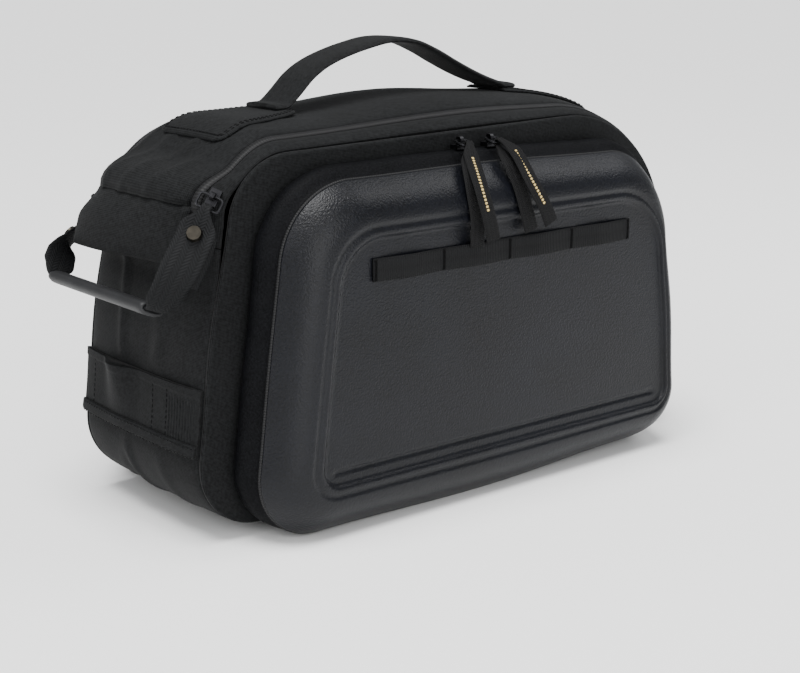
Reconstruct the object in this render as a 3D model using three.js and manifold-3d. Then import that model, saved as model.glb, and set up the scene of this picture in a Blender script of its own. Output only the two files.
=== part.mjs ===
// A trunk bag for a bicycle rack: a soft zipped body with a crowned lid, a moulded shell pocket on each
// side, a carrying handle, a loop pull at the rear and light loops across the rear panel.
// Millimetres, +X towards the front of the bicycle, -Y towards the near side, +Z up. The base that a
// rack's deck carries is at z = 0, and the pockets hang a little lower on both sides of it.
import * as THREE from "three";
import { mergeVertices } from "three/addons/utils/BufferGeometryUtils.js";
import Module from "manifold-3d";

const wasm = await Module();
wasm.setup();

// Driving dimensions of the body
const BODY_LENGTH = 412;
const BODY_HEIGHT = 223;
const BODY_WIDTH = 138;
const BODY_FOOT_RADIUS = 40;
const BODY_REAR_TOP_RADIUS = 43;
const BODY_FRONT_TOP_RADIUS = 95;
const REAR_BOW = 3;
const FRONT_BOW = 5;
const CLOTH = 2.4;
const GAP = 0.3;
const CURVED_GAP = 0.8;
const CROWN_RISE = 24;
const CROWN_POWER = 3.5;

// Lid, its zips and its free rear flap
const GUSSET_WIDTH = 9.3;
const ZIP_WIDTH = 4.4;
const ZIP_THICKNESS = 1.6;
const ZIP_SINK = 0.3;
const REAR_PANEL_TOP = 167;
const FRONT_PANEL_TOP = 150;
const FLAP_SEAM = 187;
const FLAP_BOTTOM = 158;
const FLAP_STANDOFF = 23;

// Side pockets
const POCKET_REAR_FOOT_RADIUS = 39;
const POCKET_FRONT_FOOT_RADIUS = 33;
const POCKET_REAR_TOP_RADIUS = 50;
const POCKET_FRONT_TOP_RADIUS = 46;
const POCKET_REAR_BOW = 0.5;
const POCKET_TOP_BOW = 1.7;
const POCKET_FRONT_BOW = 3.6;
const POCKET_FOOT_BOW = 3.6;
const BAND_DEPTH = 19.5;
const BAND_BULGE = 7.5;
const BAND_TUCK = 0.1;
const BAND_THICKNESS = 2;
const POCKET_ZIP_DEPTH = 2.2;
const POCKET_ZIP_THICKNESS = 2;
const SHELL_DEPTH = 17;
const SHELL_WALL = 3.5;
const SHOULDER = 31;
const FIELD_SINK = 2.4;

// Daisy-chain webbing on each shell
const CHAIN_LENGTH = 215;
const CHAIN_HEIGHT = 14;
const CHAIN_TOP = 159;
const CHAIN_LOOPS = 4;
const CHAIN_BOW = 2.2;
const WEBBING = 1.5;

// Zip sliders, their bails and the pocket pulls
const SLIDER_LENGTH = 10;
const SLIDER_WIDTH = 6.6;
const SLIDER_BODY = 2.6;
const SLIDER_SEAT = 0.5;
const BRIDGE_LENGTH = 2.6;
const BRIDGE_HEIGHT = 4.8;
const BRIDGE_WIDTH = 4.4;
const BAIL_WIRE = 0.8;
const BAIL_REACH = 8.4;
const BAIL_CORNER = 2;
const POCKET_BAIL_WIDTH = 9;
const LID_BAIL_WIDTH = 14;
const EYE_RADIUS = BAIL_WIRE + 0.6;
const EYE_LIFT = 2.3;
const POCKET_SLIDER_X = [-16, 9];
const PULL_WIDTH = 11;
const PULL_NECK = 4.6;
const PULL_LENGTH = 44;
const PULL_LAYER = 1.6;

// Rear loop pull
const LOOP_WEBBING_WIDTH = 22;
const LOOP_NECK = 6;
const LOOP_SLIDER_HEIGHT = { near: 193, far: 180 };
const LOOP_SLIDER_ASIDE = 7;
const LOOP_DROP = 55;
const LOOP_REACH = 31;
const LOOP_SPREAD = 9;
const LOOP_TILT = 0.1;
const LOOP_LAYER = 2;
const SLEEVE_LENGTH = 112;
const LOOP_FOLDED_WIDTH = 12;
const SLEEVE_WALL = 2;
const SLEEVE_THICKNESS = 8;
const SNAP_RADIUS = 4.8;
const SNAP_THICKNESS = 2.6;

// Light loops across the rear panel
const LIGHT_BAND_TOP = 87;
const LIGHT_BAND_BOTTOM = 45;
const LIGHT_BAND_CLOTH = 1.4;
const LIGHT_BAND_GAPE = 8;
const HEM_HEIGHT = 9;

// Top handle and its sewn patches
const HANDLE_WIDTH = 33;
const HANDLE_SPAN = 178;
const HANDLE_RISE = 31;
const HANDLE_CENTRE = -11;
const HANDLE_THICKNESS = 3.4;
const HANDLE_TAB = 10;
const PATCH_LENGTH = 58;
const PATCH_WIDTH = 74;
const PATCH_THICKNESS = 1.6;

// Corners of the side outlines, clockwise from the rear foot: x as a share of the body's length and z of
// its height, with the radius of the corner and the bow of the side that follows it
const BODY_CORNERS = [
  { x: -0.513, z: 0, radius: BODY_FOOT_RADIUS, bow: REAR_BOW },
  { x: -0.422, z: 0.98, radius: BODY_REAR_TOP_RADIUS, bow: 0 },
  { x: 0.414, z: 1.014, radius: BODY_FRONT_TOP_RADIUS, bow: FRONT_BOW },
  { x: 0.495, z: 0, radius: BODY_FOOT_RADIUS, bow: 0 },
];
const POCKET_CORNERS = [
  { x: -0.447, z: -0.028, radius: POCKET_REAR_FOOT_RADIUS, bow: POCKET_REAR_BOW },
  { x: -0.377, z: 0.915, radius: POCKET_REAR_TOP_RADIUS, bow: POCKET_TOP_BOW },
  { x: 0.348, z: 0.902, radius: POCKET_FRONT_TOP_RADIUS, bow: POCKET_FRONT_BOW },
  { x: 0.415, z: -0.004, radius: POCKET_FRONT_FOOT_RADIUS, bow: POCKET_FOOT_BOW },
];

// How far the wrap bulges midway between the side seams, as a share of CROWN_RISE, round the outline.
// Corner k takes steps 2k to 2k+1, and the side that follows it takes 2k+1 to 2k+2.
const CROWN = [
  { step: 0, rise: 0 },
  { step: 1, rise: 0.17 },
  { step: 1.7, rise: 0.3 },
  { step: 1.95, rise: 0.95 },
  { step: 2.1, rise: 1.15 },
  { step: 2.5, rise: 0.38 },
  { step: 3, rise: 0.55 },
  { step: 3.6, rise: 0.73 },
  { step: 4.2, rise: 0.42 },
  { step: 5, rise: 0.46 },
  { step: 5.6, rise: 0.3 },
  { step: 6, rise: 0.17 },
  { step: 7, rise: 0 },
  { step: 8, rise: 0 },
];

// Wrap sections: steps along the outline at which rows are made
const ARC_ROWS = 8;
const SIDE_ROWS = 5;

const FINISHES = {
  cloth: { color: 0x24262a, roughness: 0.9, metalness: 0 },
  lining: { color: 0x1b1c1f, roughness: 0.95, metalness: 0 },
  webbing: { color: 0x17181a, roughness: 0.85, metalness: 0 },
  zip: { color: 0x0e0f10, roughness: 0.5, metalness: 0 },
  shell: { color: 0x34373c, roughness: 0.5, metalness: 0 },
  metal: { color: 0x3a3c40, roughness: 0.35, metalness: 1 },
  rubber: { color: 0x6b6e72, roughness: 0.6, metalness: 0 },
};

// A closed outline with round corners and bowed sides. It gives a function from a step to a point in the
// XZ plane with its outward normal.
function makeOutline(corners) {
  const points = corners.map((c) => new THREE.Vector2(c.x * BODY_LENGTH, c.z * BODY_HEIGHT));
  const count = points.length;
  const direction = points.map((p, k) => points[(k + 1) % count].clone().sub(p).normalize());
  const outward = direction.map((d) => new THREE.Vector2(-d.y, d.x));
  const rounds = corners.map((corner, k) => {
    const before = (k + count - 1) % count;
    const turn = Math.acos(THREE.MathUtils.clamp(direction[before].dot(direction[k]), -1, 1));
    const reach = corner.radius * Math.tan(turn / 2);
    const start = points[k].clone().addScaledVector(direction[before], -reach);
    const end = points[k].clone().addScaledVector(direction[k], reach);
    const centre = start.clone().addScaledVector(outward[before], -corner.radius);
    const angle = Math.atan2(outward[before].y, outward[before].x);
    return { start, end, centre, angle, turn, radius: corner.radius };
  });
  return (step) => {
    const turned = ((step % (2 * count)) + 2 * count) % (2 * count);
    const k = Math.floor(turned / 2);
    const along = turned - 2 * k;
    if (along <= 1) {
      const { centre, angle, turn, radius } = rounds[k];
      const a = angle - turn * along;
      const normal = new THREE.Vector2(Math.cos(a), Math.sin(a));
      return { point: centre.clone().addScaledVector(normal, radius), normal };
    }
    const share = along - 1;
    const from = rounds[k].end;
    const to = rounds[(k + 1) % count].start;
    const bow = corners[k].bow;
    const slope = (bow * Math.PI * Math.sin(2 * Math.PI * share)) / from.distanceTo(to);
    const point = from.clone().lerp(to, share);
    point.addScaledVector(outward[k], bow * Math.sin(Math.PI * share) ** 2);
    const normal = outward[k].clone().addScaledVector(direction[k], -slope).normalize();
    return { point, normal };
  };
}

const bodyOutline = makeOutline(BODY_CORNERS);
const pocketOutline = makeOutline(POCKET_CORNERS);

// The step between two others at which an outline reaches a height
function stepAtHeight(outline, height, low, high) {
  const rising = outline(high).point.y > outline(low).point.y;
  let a = low;
  let b = high;
  for (let i = 0; i < 40; i += 1) {
    const middle = (a + b) / 2;
    const below = outline(middle).point.y < height;
    if (below === rising) a = middle;
    else b = middle;
  }
  return (a + b) / 2;
}

// The step between two others at which an outline reaches a place along X
function stepAtLength(outline, x, low, high) {
  let a = low;
  let b = high;
  for (let i = 0; i < 40; i += 1) {
    const middle = (a + b) / 2;
    if (outline(middle).point.x < x) a = middle;
    else b = middle;
  }
  return (a + b) / 2;
}

function crownShare(step) {
  const next = CROWN.findIndex((row) => row.step >= step);
  if (next <= 0) return CROWN[0].rise;
  const before = CROWN[next - 1];
  const after = CROWN[next];
  const share = (step - before.step) / (after.step - before.step);
  const eased = (1 - Math.cos(Math.PI * share)) / 2;
  return before.rise + (after.rise - before.rise) * eased;
}

// A point of the wrap's outer surface, raised from it by lift
function wrapPoint(step, y, lift = 0) {
  const { point, normal } = bodyOutline(step);
  const across = 1 - Math.min(1, Math.abs(y) / (BODY_WIDTH / 2)) ** CROWN_POWER;
  const rise = CROWN_RISE * crownShare(step) * across + lift;
  return new THREE.Vector3(point.x + normal.x * rise, y, point.y + normal.y * rise);
}

// The wrap's directions at a point: along the outline, across the bag and away from the surface
function wrapFrame(step, y) {
  const here = wrapPoint(step, y);
  const along = wrapPoint(step + 0.01, y).sub(here).normalize();
  const slope = wrapPoint(step, y + 0.1).sub(here).normalize();
  const away = along.clone().cross(slope).normalize();
  if (away.dot(here) < 0) away.negate();
  return { along, across: away.clone().cross(along), away };
}

// Steps for the rows between two places on an outline, closer on the round corners
function rowSteps(from, to) {
  const steps = [from];
  for (let k = Math.floor(from); k < to; k += 1) {
    const rows = k % 2 === 0 ? ARC_ROWS : SIDE_ROWS;
    for (let i = 0; i < rows; i += 1) {
      const step = k + i / rows;
      if (step > from + 0.05 && step < to - 0.05) steps.push(step);
    }
  }
  steps.push(to);
  return steps;
}

function spread(from, to, count) {
  return Array.from({ length: count + 1 }, (_, i) => from + ((to - from) * i) / count);
}

// A closed mesh from points and quads or triangles, with its faces turned outwards
function closedGeometry(points, faces) {
  const triangles = faces.flatMap((f) => (f.length === 3 ? [f] : [[f[0], f[1], f[2]], [f[0], f[2], f[3]]]));
  let volume = 0;
  for (const [a, b, c] of triangles) {
    volume += points[a].dot(points[b].clone().cross(points[c]));
  }
  const index = triangles.flatMap(([a, b, c]) => (volume > 0 ? [a, b, c] : [a, c, b]));
  const geometry = new THREE.BufferGeometry();
  geometry.setAttribute("position", new THREE.Float32BufferAttribute(points.flatMap((p) => p.toArray()), 3));
  geometry.setIndex(index);
  return geometry;
}

// A sheet with thickness: each row has as many outer points as inner ones
function sheetGeometry(rows) {
  const width = rows[0].outer.length;
  const points = rows.flatMap((row) => [...row.outer, ...row.inner]);
  const at = (i, j, side) => i * 2 * width + side * width + j;
  const faces = [];
  for (let i = 0; i + 1 < rows.length; i += 1) {
    for (let j = 0; j + 1 < width; j += 1) {
      faces.push([at(i, j, 0), at(i + 1, j, 0), at(i + 1, j + 1, 0), at(i, j + 1, 0)]);
      faces.push([at(i, j, 1), at(i, j + 1, 1), at(i + 1, j + 1, 1), at(i + 1, j, 1)]);
    }
    faces.push([at(i, 0, 0), at(i, 0, 1), at(i + 1, 0, 1), at(i + 1, 0, 0)]);
    const end = width - 1;
    faces.push([at(i, end, 0), at(i + 1, end, 0), at(i + 1, end, 1), at(i, end, 1)]);
  }
  const last = rows.length - 1;
  for (let j = 0; j + 1 < width; j += 1) {
    faces.push([at(0, j, 0), at(0, j + 1, 0), at(0, j + 1, 1), at(0, j, 1)]);
    faces.push([at(last, j, 0), at(last, j, 1), at(last, j + 1, 1), at(last, j + 1, 0)]);
  }
  return closedGeometry(points, faces);
}

// A piece of the wrap over some steps and widths, lying lift above its outer surface. Its widths and
// what raises it may change with the share of the way from its first step to its last.
function wrapSheet({ steps, across, lift = 0, thickness = CLOTH, raise = () => 0 }) {
  const first = steps[0];
  const last = steps[steps.length - 1];
  const rows = steps.map((step) => {
    const share = (step - first) / (last - first);
    const widths = typeof across === "function" ? across(share) : across;
    const top = widths.map((y) => wrapPoint(step, y, lift + raise(share, y)));
    const under = widths.map((y) => wrapPoint(step, y, lift - thickness + raise(share, y)));
    return { outer: top, inner: under };
  });
  return sheetGeometry(rows);
}

// A solid that follows an outline: a section of offsets and depths swept round it. An open section
// starts and ends on the middle of the outline. Bulging offsets shrink to a share where they face down.
function outlineGeometry(outline, section, { closed, middle }) {
  const steps = rowSteps(0, 8).slice(0, -1);
  const points = [];
  for (const step of steps) {
    const { point, normal } = outline(step);
    const tuck = 1 - (1 - BAND_TUCK) * Math.max(0, -normal.y);
    for (const { bulge = 0, out: flat, y } of section) {
      const out = flat + bulge * tuck;
      points.push(new THREE.Vector3(point.x + normal.x * out, y, point.y + normal.y * out));
    }
  }
  const size = section.length;
  const at = (i, j) => (i % steps.length) * size + (j % size);
  const faces = [];
  const rows = closed ? size : size - 1;
  for (let i = 0; i < steps.length; i += 1) {
    for (let j = 0; j < rows; j += 1) faces.push([at(i, j), at(i, j + 1), at(i + 1, j + 1), at(i + 1, j)]);
  }
  if (!closed) {
    const first = points.push(new THREE.Vector3(middle.x, section[0].y, middle.z)) - 1;
    const final = points.push(new THREE.Vector3(middle.x, section[size - 1].y, middle.z)) - 1;
    for (let i = 0; i < steps.length; i += 1) {
      faces.push([first, at(i, 0), at(i + 1, 0)]);
      faces.push([final, at(i + 1, size - 1), at(i, size - 1)]);
    }
  }
  return closedGeometry(points, faces);
}

// The directions of a strap at one of its stations, across its width and out of its face
function strapFrame(stations, i) {
  const before = stations[Math.max(0, i - 1)].centre;
  const after = stations[Math.min(stations.length - 1, i + 1)].centre;
  const along = after.clone().sub(before).normalize();
  const { wide } = stations[i];
  const side = wide.clone().addScaledVector(along, -wide.dot(along)).normalize();
  return { side, face: along.clone().cross(side) };
}

// A flat strap along stations, each with a centre, its width and the direction of its width
function strapGeometry(stations, thickness) {
  const rows = stations.map(({ centre, width }, i) => {
    const { side, face } = strapFrame(stations, i);
    const corner = (s, f) => {
      return centre.clone().addScaledVector(side, (s * width) / 2).addScaledVector(face, (f * thickness) / 2);
    };
    return { outer: [corner(-1, 1), corner(1, 1)], inner: [corner(-1, -1), corner(1, -1)] };
  });
  return sheetGeometry(rows);
}

function toManifold(geometry) {
  const bare = geometry.clone();
  bare.deleteAttribute("normal");
  bare.deleteAttribute("uv");
  const merged = mergeVertices(bare, 1e-4);
  const vertProperties = new Float32Array(merged.attributes.position.array);
  const triVerts = new Uint32Array(merged.index.array);
  return new wasm.Manifold(new wasm.Mesh({ numProp: 3, vertProperties, triVerts }));
}

function fromManifold(solid) {
  const mesh = solid.getMesh();
  const geometry = new THREE.BufferGeometry();
  geometry.setAttribute("position", new THREE.Float32BufferAttribute(mesh.vertProperties, 3));
  geometry.setIndex(Array.from(mesh.triVerts));
  return geometry;
}

const bag = new THREE.Group();

function addMesh(name, geometry, finish) {
  const mesh = new THREE.Mesh(geometry, new THREE.MeshStandardMaterial(FINISHES[finish]));
  mesh.name = name;
  bag.add(mesh);
  return mesh;
}

const SIDES = [
  { name: "near", sign: -1 },
  { name: "far", sign: 1 },
];

// The wrap ends this far from the middle, and the side panels lie beyond it
const SIDE_FACE = BODY_WIDTH / 2;
const WRAP_EDGE = SIDE_FACE - CLOTH - GAP;
const LID_HALF = WRAP_EDGE - GUSSET_WIDTH - ZIP_WIDTH - 2 * GAP;
const REAR_STEP = stepAtHeight(bodyOutline, REAR_PANEL_TOP, 1, 2.5);
const FRONT_STEP = stepAtHeight(bodyOutline, FRONT_PANEL_TOP, 4.5, 6);
const FLAP_STEP = stepAtHeight(bodyOutline, FLAP_SEAM, 1.5, 2.9);
const STEP_GAP = 0.004;

function addBodyPanels() {
  const full = spread(-WRAP_EDGE, WRAP_EDGE, 8);
  addMesh("base_panel", wrapSheet({ steps: [7 + STEP_GAP, 8 - STEP_GAP], across: full }), "cloth");
  addMesh("rear_end_panel", wrapSheet({ steps: rowSteps(0, REAR_STEP), across: full }), "cloth");
  addMesh("front_end_panel", wrapSheet({ steps: rowSteps(FRONT_STEP, 7), across: full }), "cloth");
  for (const { name, sign } of SIDES) {
    const outline = rowSteps(0, 8).slice(0, -1).map((step) => bodyOutline(step).point);
    const shape = new THREE.Shape(outline);
    const plate = new THREE.ExtrudeGeometry(shape, { depth: CLOTH, bevelEnabled: false });
    plate.rotateX(Math.PI / 2);
    plate.translate(0, sign < 0 ? -SIDE_FACE + CLOTH : SIDE_FACE, 0);
    addMesh(`side_panel_${name}`, plate, "cloth");
  }
}

function addLid() {
  const lidRows = rowSteps(FLAP_STEP + STEP_GAP, FRONT_STEP - STEP_GAP);
  addMesh("lid_panel", wrapSheet({ steps: lidRows, across: spread(-LID_HALF, LID_HALF, 8) }), "cloth");

  const flapTop = spread(-LID_HALF, LID_HALF, 8).map((y) => wrapPoint(FLAP_STEP - STEP_GAP, y));
  const foot = bodyOutline(stepAtHeight(bodyOutline, FLAP_BOTTOM, 1, 2)).point;
  const flapRows = spread(0, 1, 3).map((share) => {
    const row = flapTop.map((p) => {
      const low = new THREE.Vector3(foot.x - FLAP_STANDOFF, p.y, FLAP_BOTTOM);
      return p.clone().lerp(low, share);
    });
    const inward = new THREE.Vector3(CLOTH, 0, 0);
    return { outer: row, inner: row.map((p) => p.clone().add(inward)) };
  });
  addMesh("rear_flap", sheetGeometry(flapRows), "cloth");

  const ends = rowSteps(REAR_STEP + STEP_GAP, FRONT_STEP - STEP_GAP);
  for (const { name, sign } of SIDES) {
    const zipEdge = LID_HALF + GAP;
    const gussetEdge = zipEdge + ZIP_WIDTH + GAP;
    const zip = { steps: ends, across: [sign * zipEdge, sign * (zipEdge + ZIP_WIDTH)] };
    addMesh(`lid_zip_${name}`, wrapSheet({ ...zip, lift: -ZIP_SINK, thickness: ZIP_THICKNESS }), "zip");
    const gusset = { steps: ends, across: spread(sign * gussetEdge, sign * WRAP_EDGE, 2) };
    addMesh(`lid_gusset_${name}`, wrapSheet(gusset), "cloth");
  }
}

// Depths of the pocket's parts, measured from the middle of the bag
const BAND_INNER = SIDE_FACE + GAP;
const BAND_OUTER = BAND_INNER + BAND_DEPTH;
const ZIP_INNER = BAND_OUTER + GAP;
const ZIP_OUTER = ZIP_INNER + POCKET_ZIP_DEPTH;
const RIM = ZIP_OUTER + GAP;
const SHELL_FACE = RIM + SHELL_DEPTH;
const FIELD = SHELL_FACE - FIELD_SINK;

// Sections of the pocket, offsets as shares of the bulge or of the shoulder and depths of their own
const BAND_CREST = 0.45;
const BAND_SECTION = [
  { out: 0.35, deep: 0 },
  { out: 0.85, deep: 0.16 },
  { out: 1, deep: BAND_CREST },
  { out: 0.75, deep: 0.72 },
  { out: 0.05, deep: 0.9 },
  { out: 0, deep: 1 },
];
const SHELL_SECTION = [
  { out: 1, deep: 1, sink: 1 },
  { out: 0.91, deep: 1, sink: 0.1 },
  { out: 0.68, deep: 0.985, sink: 0 },
  { out: 0.4, deep: 0.84, sink: 0 },
  { out: 0.16, deep: 0.54, sink: 0 },
  { out: 0.03, deep: 0.23, sink: 0 },
  { out: 0, deep: 0, sink: 0 },
];

function addPockets() {
  const middle = { x: 0, z: 0.47 * BODY_HEIGHT };
  for (const { name, sign } of SIDES) {
    const outer = BAND_SECTION.map(({ out, deep }) => {
      return { out: 0, bulge: out * BAND_BULGE, y: sign * (BAND_INNER + deep * BAND_DEPTH) };
    });
    const inner = outer.map((row) => ({ ...row, out: -BAND_THICKNESS })).reverse();
    const band = outlineGeometry(pocketOutline, [...outer, ...inner], { closed: true });
    addMesh(`pocket_band_${name}`, band, "lining");

    const zip = [
      { out: 0, y: sign * ZIP_INNER },
      { out: 0, y: sign * ZIP_OUTER },
      { out: -POCKET_ZIP_THICKNESS, y: sign * ZIP_OUTER },
      { out: -POCKET_ZIP_THICKNESS, y: sign * ZIP_INNER },
    ];
    addMesh(`pocket_zip_${name}`, outlineGeometry(pocketOutline, zip, { closed: true }), "zip");

    const skin = SHELL_SECTION.map(({ out, deep, sink }) => {
      return { out: -out * SHOULDER, y: sign * (RIM + deep * SHELL_DEPTH - sink * FIELD_SINK) };
    });
    const inside = [
      { out: -SHELL_WALL, y: sign * RIM },
      { out: -SHELL_WALL - 0.08 * SHOULDER, y: sign * (RIM + 0.4 * SHELL_DEPTH) },
      { out: -SHELL_WALL - 0.35 * SHOULDER, y: sign * (RIM + 0.74 * SHELL_DEPTH - 1) },
      { out: -SHOULDER, y: sign * (FIELD - SHELL_WALL) },
    ];
    const shell = outlineGeometry(pocketOutline, [...skin, ...inside], { closed: false, middle });
    addMesh(`pocket_shell_${name}`, shell, "shell");
  }
}

// Four sewn loops of webbing in one strip, each bowed a little away from the shell
function addDaisyChains() {
  const places = spread(-CHAIN_LENGTH / 2, CHAIN_LENGTH / 2, CHAIN_LOOPS * 4);
  const bow = (x) => {
    const share = ((x + CHAIN_LENGTH / 2) / CHAIN_LENGTH) * CHAIN_LOOPS;
    return CHAIN_BOW * Math.sin(Math.PI * (share % 1)) ** 2;
  };
  for (const { name, sign } of SIDES) {
    const rows = places.map((x) => {
      const inside = sign * (FIELD + GAP + bow(x));
      const outside = inside + sign * WEBBING;
      const column = (y) => [new THREE.Vector3(x, y, CHAIN_TOP - CHAIN_HEIGHT), new THREE.Vector3(x, y, CHAIN_TOP)];
      return { outer: column(outside), inner: column(inside) };
    });
    addMesh(`pocket_webbing_${name}`, sheetGeometry(rows), "webbing");
  }
}

// A slider stands on a zip: its body, with a bridge whose eye holds the bail. Local X runs along the
// zip, Y across it and Z away from it. The eye runs along or across the zip.
function sliderGeometry(eyeRuns) {
  const body = new THREE.BoxGeometry(SLIDER_LENGTH, SLIDER_WIDTH, SLIDER_BODY);
  body.translate(0, 0, SLIDER_BODY / 2);
  const shape = new THREE.Shape();
  shape.moveTo(-BRIDGE_WIDTH / 2, -0.5);
  shape.lineTo(BRIDGE_WIDTH / 2, -0.5);
  shape.lineTo(BRIDGE_WIDTH / 2, BRIDGE_HEIGHT - 1);
  shape.lineTo(BRIDGE_WIDTH / 2 - 1, BRIDGE_HEIGHT);
  shape.lineTo(1 - BRIDGE_WIDTH / 2, BRIDGE_HEIGHT);
  shape.lineTo(-BRIDGE_WIDTH / 2, BRIDGE_HEIGHT - 1);
  shape.closePath();
  const eye = new THREE.Path();
  eye.absarc(0, EYE_LIFT, EYE_RADIUS, 0, 2 * Math.PI, true);
  shape.holes.push(eye);
  const bridge = new THREE.ExtrudeGeometry(shape, { depth: BRIDGE_LENGTH, bevelEnabled: false, curveSegments: 5 });
  bridge.translate(0, 0, -BRIDGE_LENGTH / 2);
  bridge.applyMatrix4(new THREE.Matrix4().makeBasis(
    new THREE.Vector3(0, 1, 0),
    new THREE.Vector3(0, 0, 1),
    new THREE.Vector3(1, 0, 0),
  ));
  if (eyeRuns === "across") bridge.rotateZ(Math.PI / 2);
  bridge.translate(0, 0, SLIDER_BODY);
  return fromManifold(toManifold(body).add(toManifold(bridge)));
}

// A wire bail: a rectangle with round corners, one bar through the eye and the other at reach from it
const BAIL_CORNER_ROWS = 3;
const WIRE_SIDES = 6;
function bailGeometry(eye, barDirection, reach, width) {
  const across = barDirection.clone().normalize();
  const along = reach.clone().addScaledVector(across, -reach.dot(across)).normalize();
  const axis = across.clone().cross(along);
  const points = [];
  for (let corner = 0; corner < 4; corner += 1) {
    const sx = corner === 0 || corner === 3 ? 1 : -1;
    const sy = corner < 2 ? 1 : 0;
    const middle = eye.clone().addScaledVector(across, sx * (width / 2 - BAIL_CORNER));
    middle.addScaledVector(along, sy ? BAIL_REACH - BAIL_CORNER : BAIL_CORNER);
    for (let i = 0; i <= BAIL_CORNER_ROWS; i += 1) {
      const turn = ((corner + i / BAIL_CORNER_ROWS) * Math.PI) / 2;
      const outward = across.clone().multiplyScalar(Math.cos(turn)).addScaledVector(along, Math.sin(turn));
      const centre = middle.clone().addScaledVector(outward, BAIL_CORNER);
      for (let j = 0; j < WIRE_SIDES; j += 1) {
        const a = (2 * Math.PI * j) / WIRE_SIDES;
        const point = centre.clone().addScaledVector(outward, BAIL_WIRE * Math.cos(a));
        points.push(point.addScaledVector(axis, BAIL_WIRE * Math.sin(a)));
      }
    }
  }
  const rings = 4 * (BAIL_CORNER_ROWS + 1);
  const at = (i, j) => (i % rings) * WIRE_SIDES + (j % WIRE_SIDES);
  const faces = [];
  for (let i = 0; i < rings; i += 1) {
    for (let j = 0; j < WIRE_SIDES; j += 1) faces.push([at(i, j), at(i, j + 1), at(i + 1, j + 1), at(i + 1, j)]);
  }
  const bar = eye.clone().addScaledVector(along, BAIL_REACH);
  return { bail: closedGeometry(points, faces), bar, along };
}

// Places a slider and gives the middle of its eye
function placeSlider(name, seat, { along, away, eyeRuns }) {
  const across = away.clone().cross(along);
  const slider = addMesh(name, sliderGeometry(eyeRuns), "metal");
  slider.quaternion.setFromRotationMatrix(new THREE.Matrix4().makeBasis(along, across, away));
  slider.position.copy(seat);
  return seat.clone().addScaledVector(away, SLIDER_BODY + EYE_LIFT);
}

// A fold of strap round a bail's bar, from one leaf to the other through the ring
const FOLD_GAP = 0.6;
function foldPath(bar, towards, face, thickness) {
  const radius = BAIL_WIRE + FOLD_GAP + thickness / 2;
  return spread(-Math.PI / 2, Math.PI / 2, 4).map((angle) => {
    const point = bar.clone().addScaledVector(towards, radius * Math.cos(angle));
    return point.addScaledVector(face, radius * Math.sin(angle));
  });
}

// The two leaves of each pocket pull below its bail: aside along the bag, standoff from the shell's
// face, and drop as a share of the pull's length. The back leaf is the longer one.
const PULLS = [
  {
    front: [
      { aside: -6.8, off: -11.6, drop: 0.14 },
      { aside: -12.5, off: 3.4, drop: 0.5 },
      { aside: -10.6, off: 9.4, drop: 0.93 },
      { aside: -9.5, off: 10.4, drop: 1.07 },
    ],
    back: [
      { aside: -11, off: -9, drop: 0.24 },
      { aside: -15.5, off: -0.9, drop: 0.5 },
      { aside: -14, off: 2.4, drop: 0.97 },
      { aside: -14.8, off: 3.2, drop: 1.32 },
    ],
  },
  {
    front: [
      { aside: 1.8, off: -9.6, drop: 0.09 },
      { aside: 2, off: 5.4, drop: 0.47 },
      { aside: 9, off: 11.4, drop: 0.86 },
      { aside: 13.1, off: 12.4, drop: 1.08 },
    ],
    back: [
      { aside: -4.5, off: -8.4, drop: 0.22 },
      { aside: -2.5, off: -0.4, drop: 0.54 },
      { aside: 2, off: 2.5, drop: 0.94 },
      { aside: 5.2, off: 3.2, drop: 1.2 },
    ],
  },
];

function addPocketPulls() {
  for (const { name, sign } of SIDES) {
    POCKET_SLIDER_X.forEach((x, k) => {
      const { point } = pocketOutline(stepAtLength(pocketOutline, x, 2.5, 4.5));
      const crest = BAND_INNER + BAND_CREST * BAND_DEPTH;
      const onBand = new THREE.Vector3(x, sign * crest, point.y + BAND_BULGE + SLIDER_SEAT);
      const along = new THREE.Vector3(1, 0, 0);
      const seated = { along, away: new THREE.Vector3(0, 0, 1), eyeRuns: "along" };
      const eye = placeSlider(`pocket_slider_${name}_${k + 1}`, onBand, seated);
      const reach = new THREE.Vector3(0, sign * 0.97, -0.24);
      const { bail, bar, along: out } = bailGeometry(eye, along, reach, POCKET_BAIL_WIDTH);
      addMesh(`pocket_bail_${name}_${k + 1}`, bail, "metal");

      const towards = out.clone().negate();
      const face = new THREE.Vector3(0, sign * towards.z, -sign * towards.y);
      const leaf = (rows) => rows.map(({ aside, off, drop }) => {
        return new THREE.Vector3(x + aside, sign * (SHELL_FACE + off), bar.z - drop * PULL_LENGTH);
      });
      const path = [
        ...leaf(PULLS[k].back).reverse(),
        ...foldPath(bar, towards, face, PULL_LAYER),
        ...leaf(PULLS[k].front),
      ];
      const stations = path.map((centre) => {
        const clear = THREE.MathUtils.smoothstep(bar.distanceTo(centre), 2.5, 7.5);
        return { centre, wide: along, width: THREE.MathUtils.lerp(PULL_NECK, PULL_WIDTH, clear) };
      });
      const pull = strapGeometry(stations, PULL_LAYER);
      addMesh(`pocket_pull_${name}_${k + 1}`, pull, "webbing");
    });
  }
}

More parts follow.
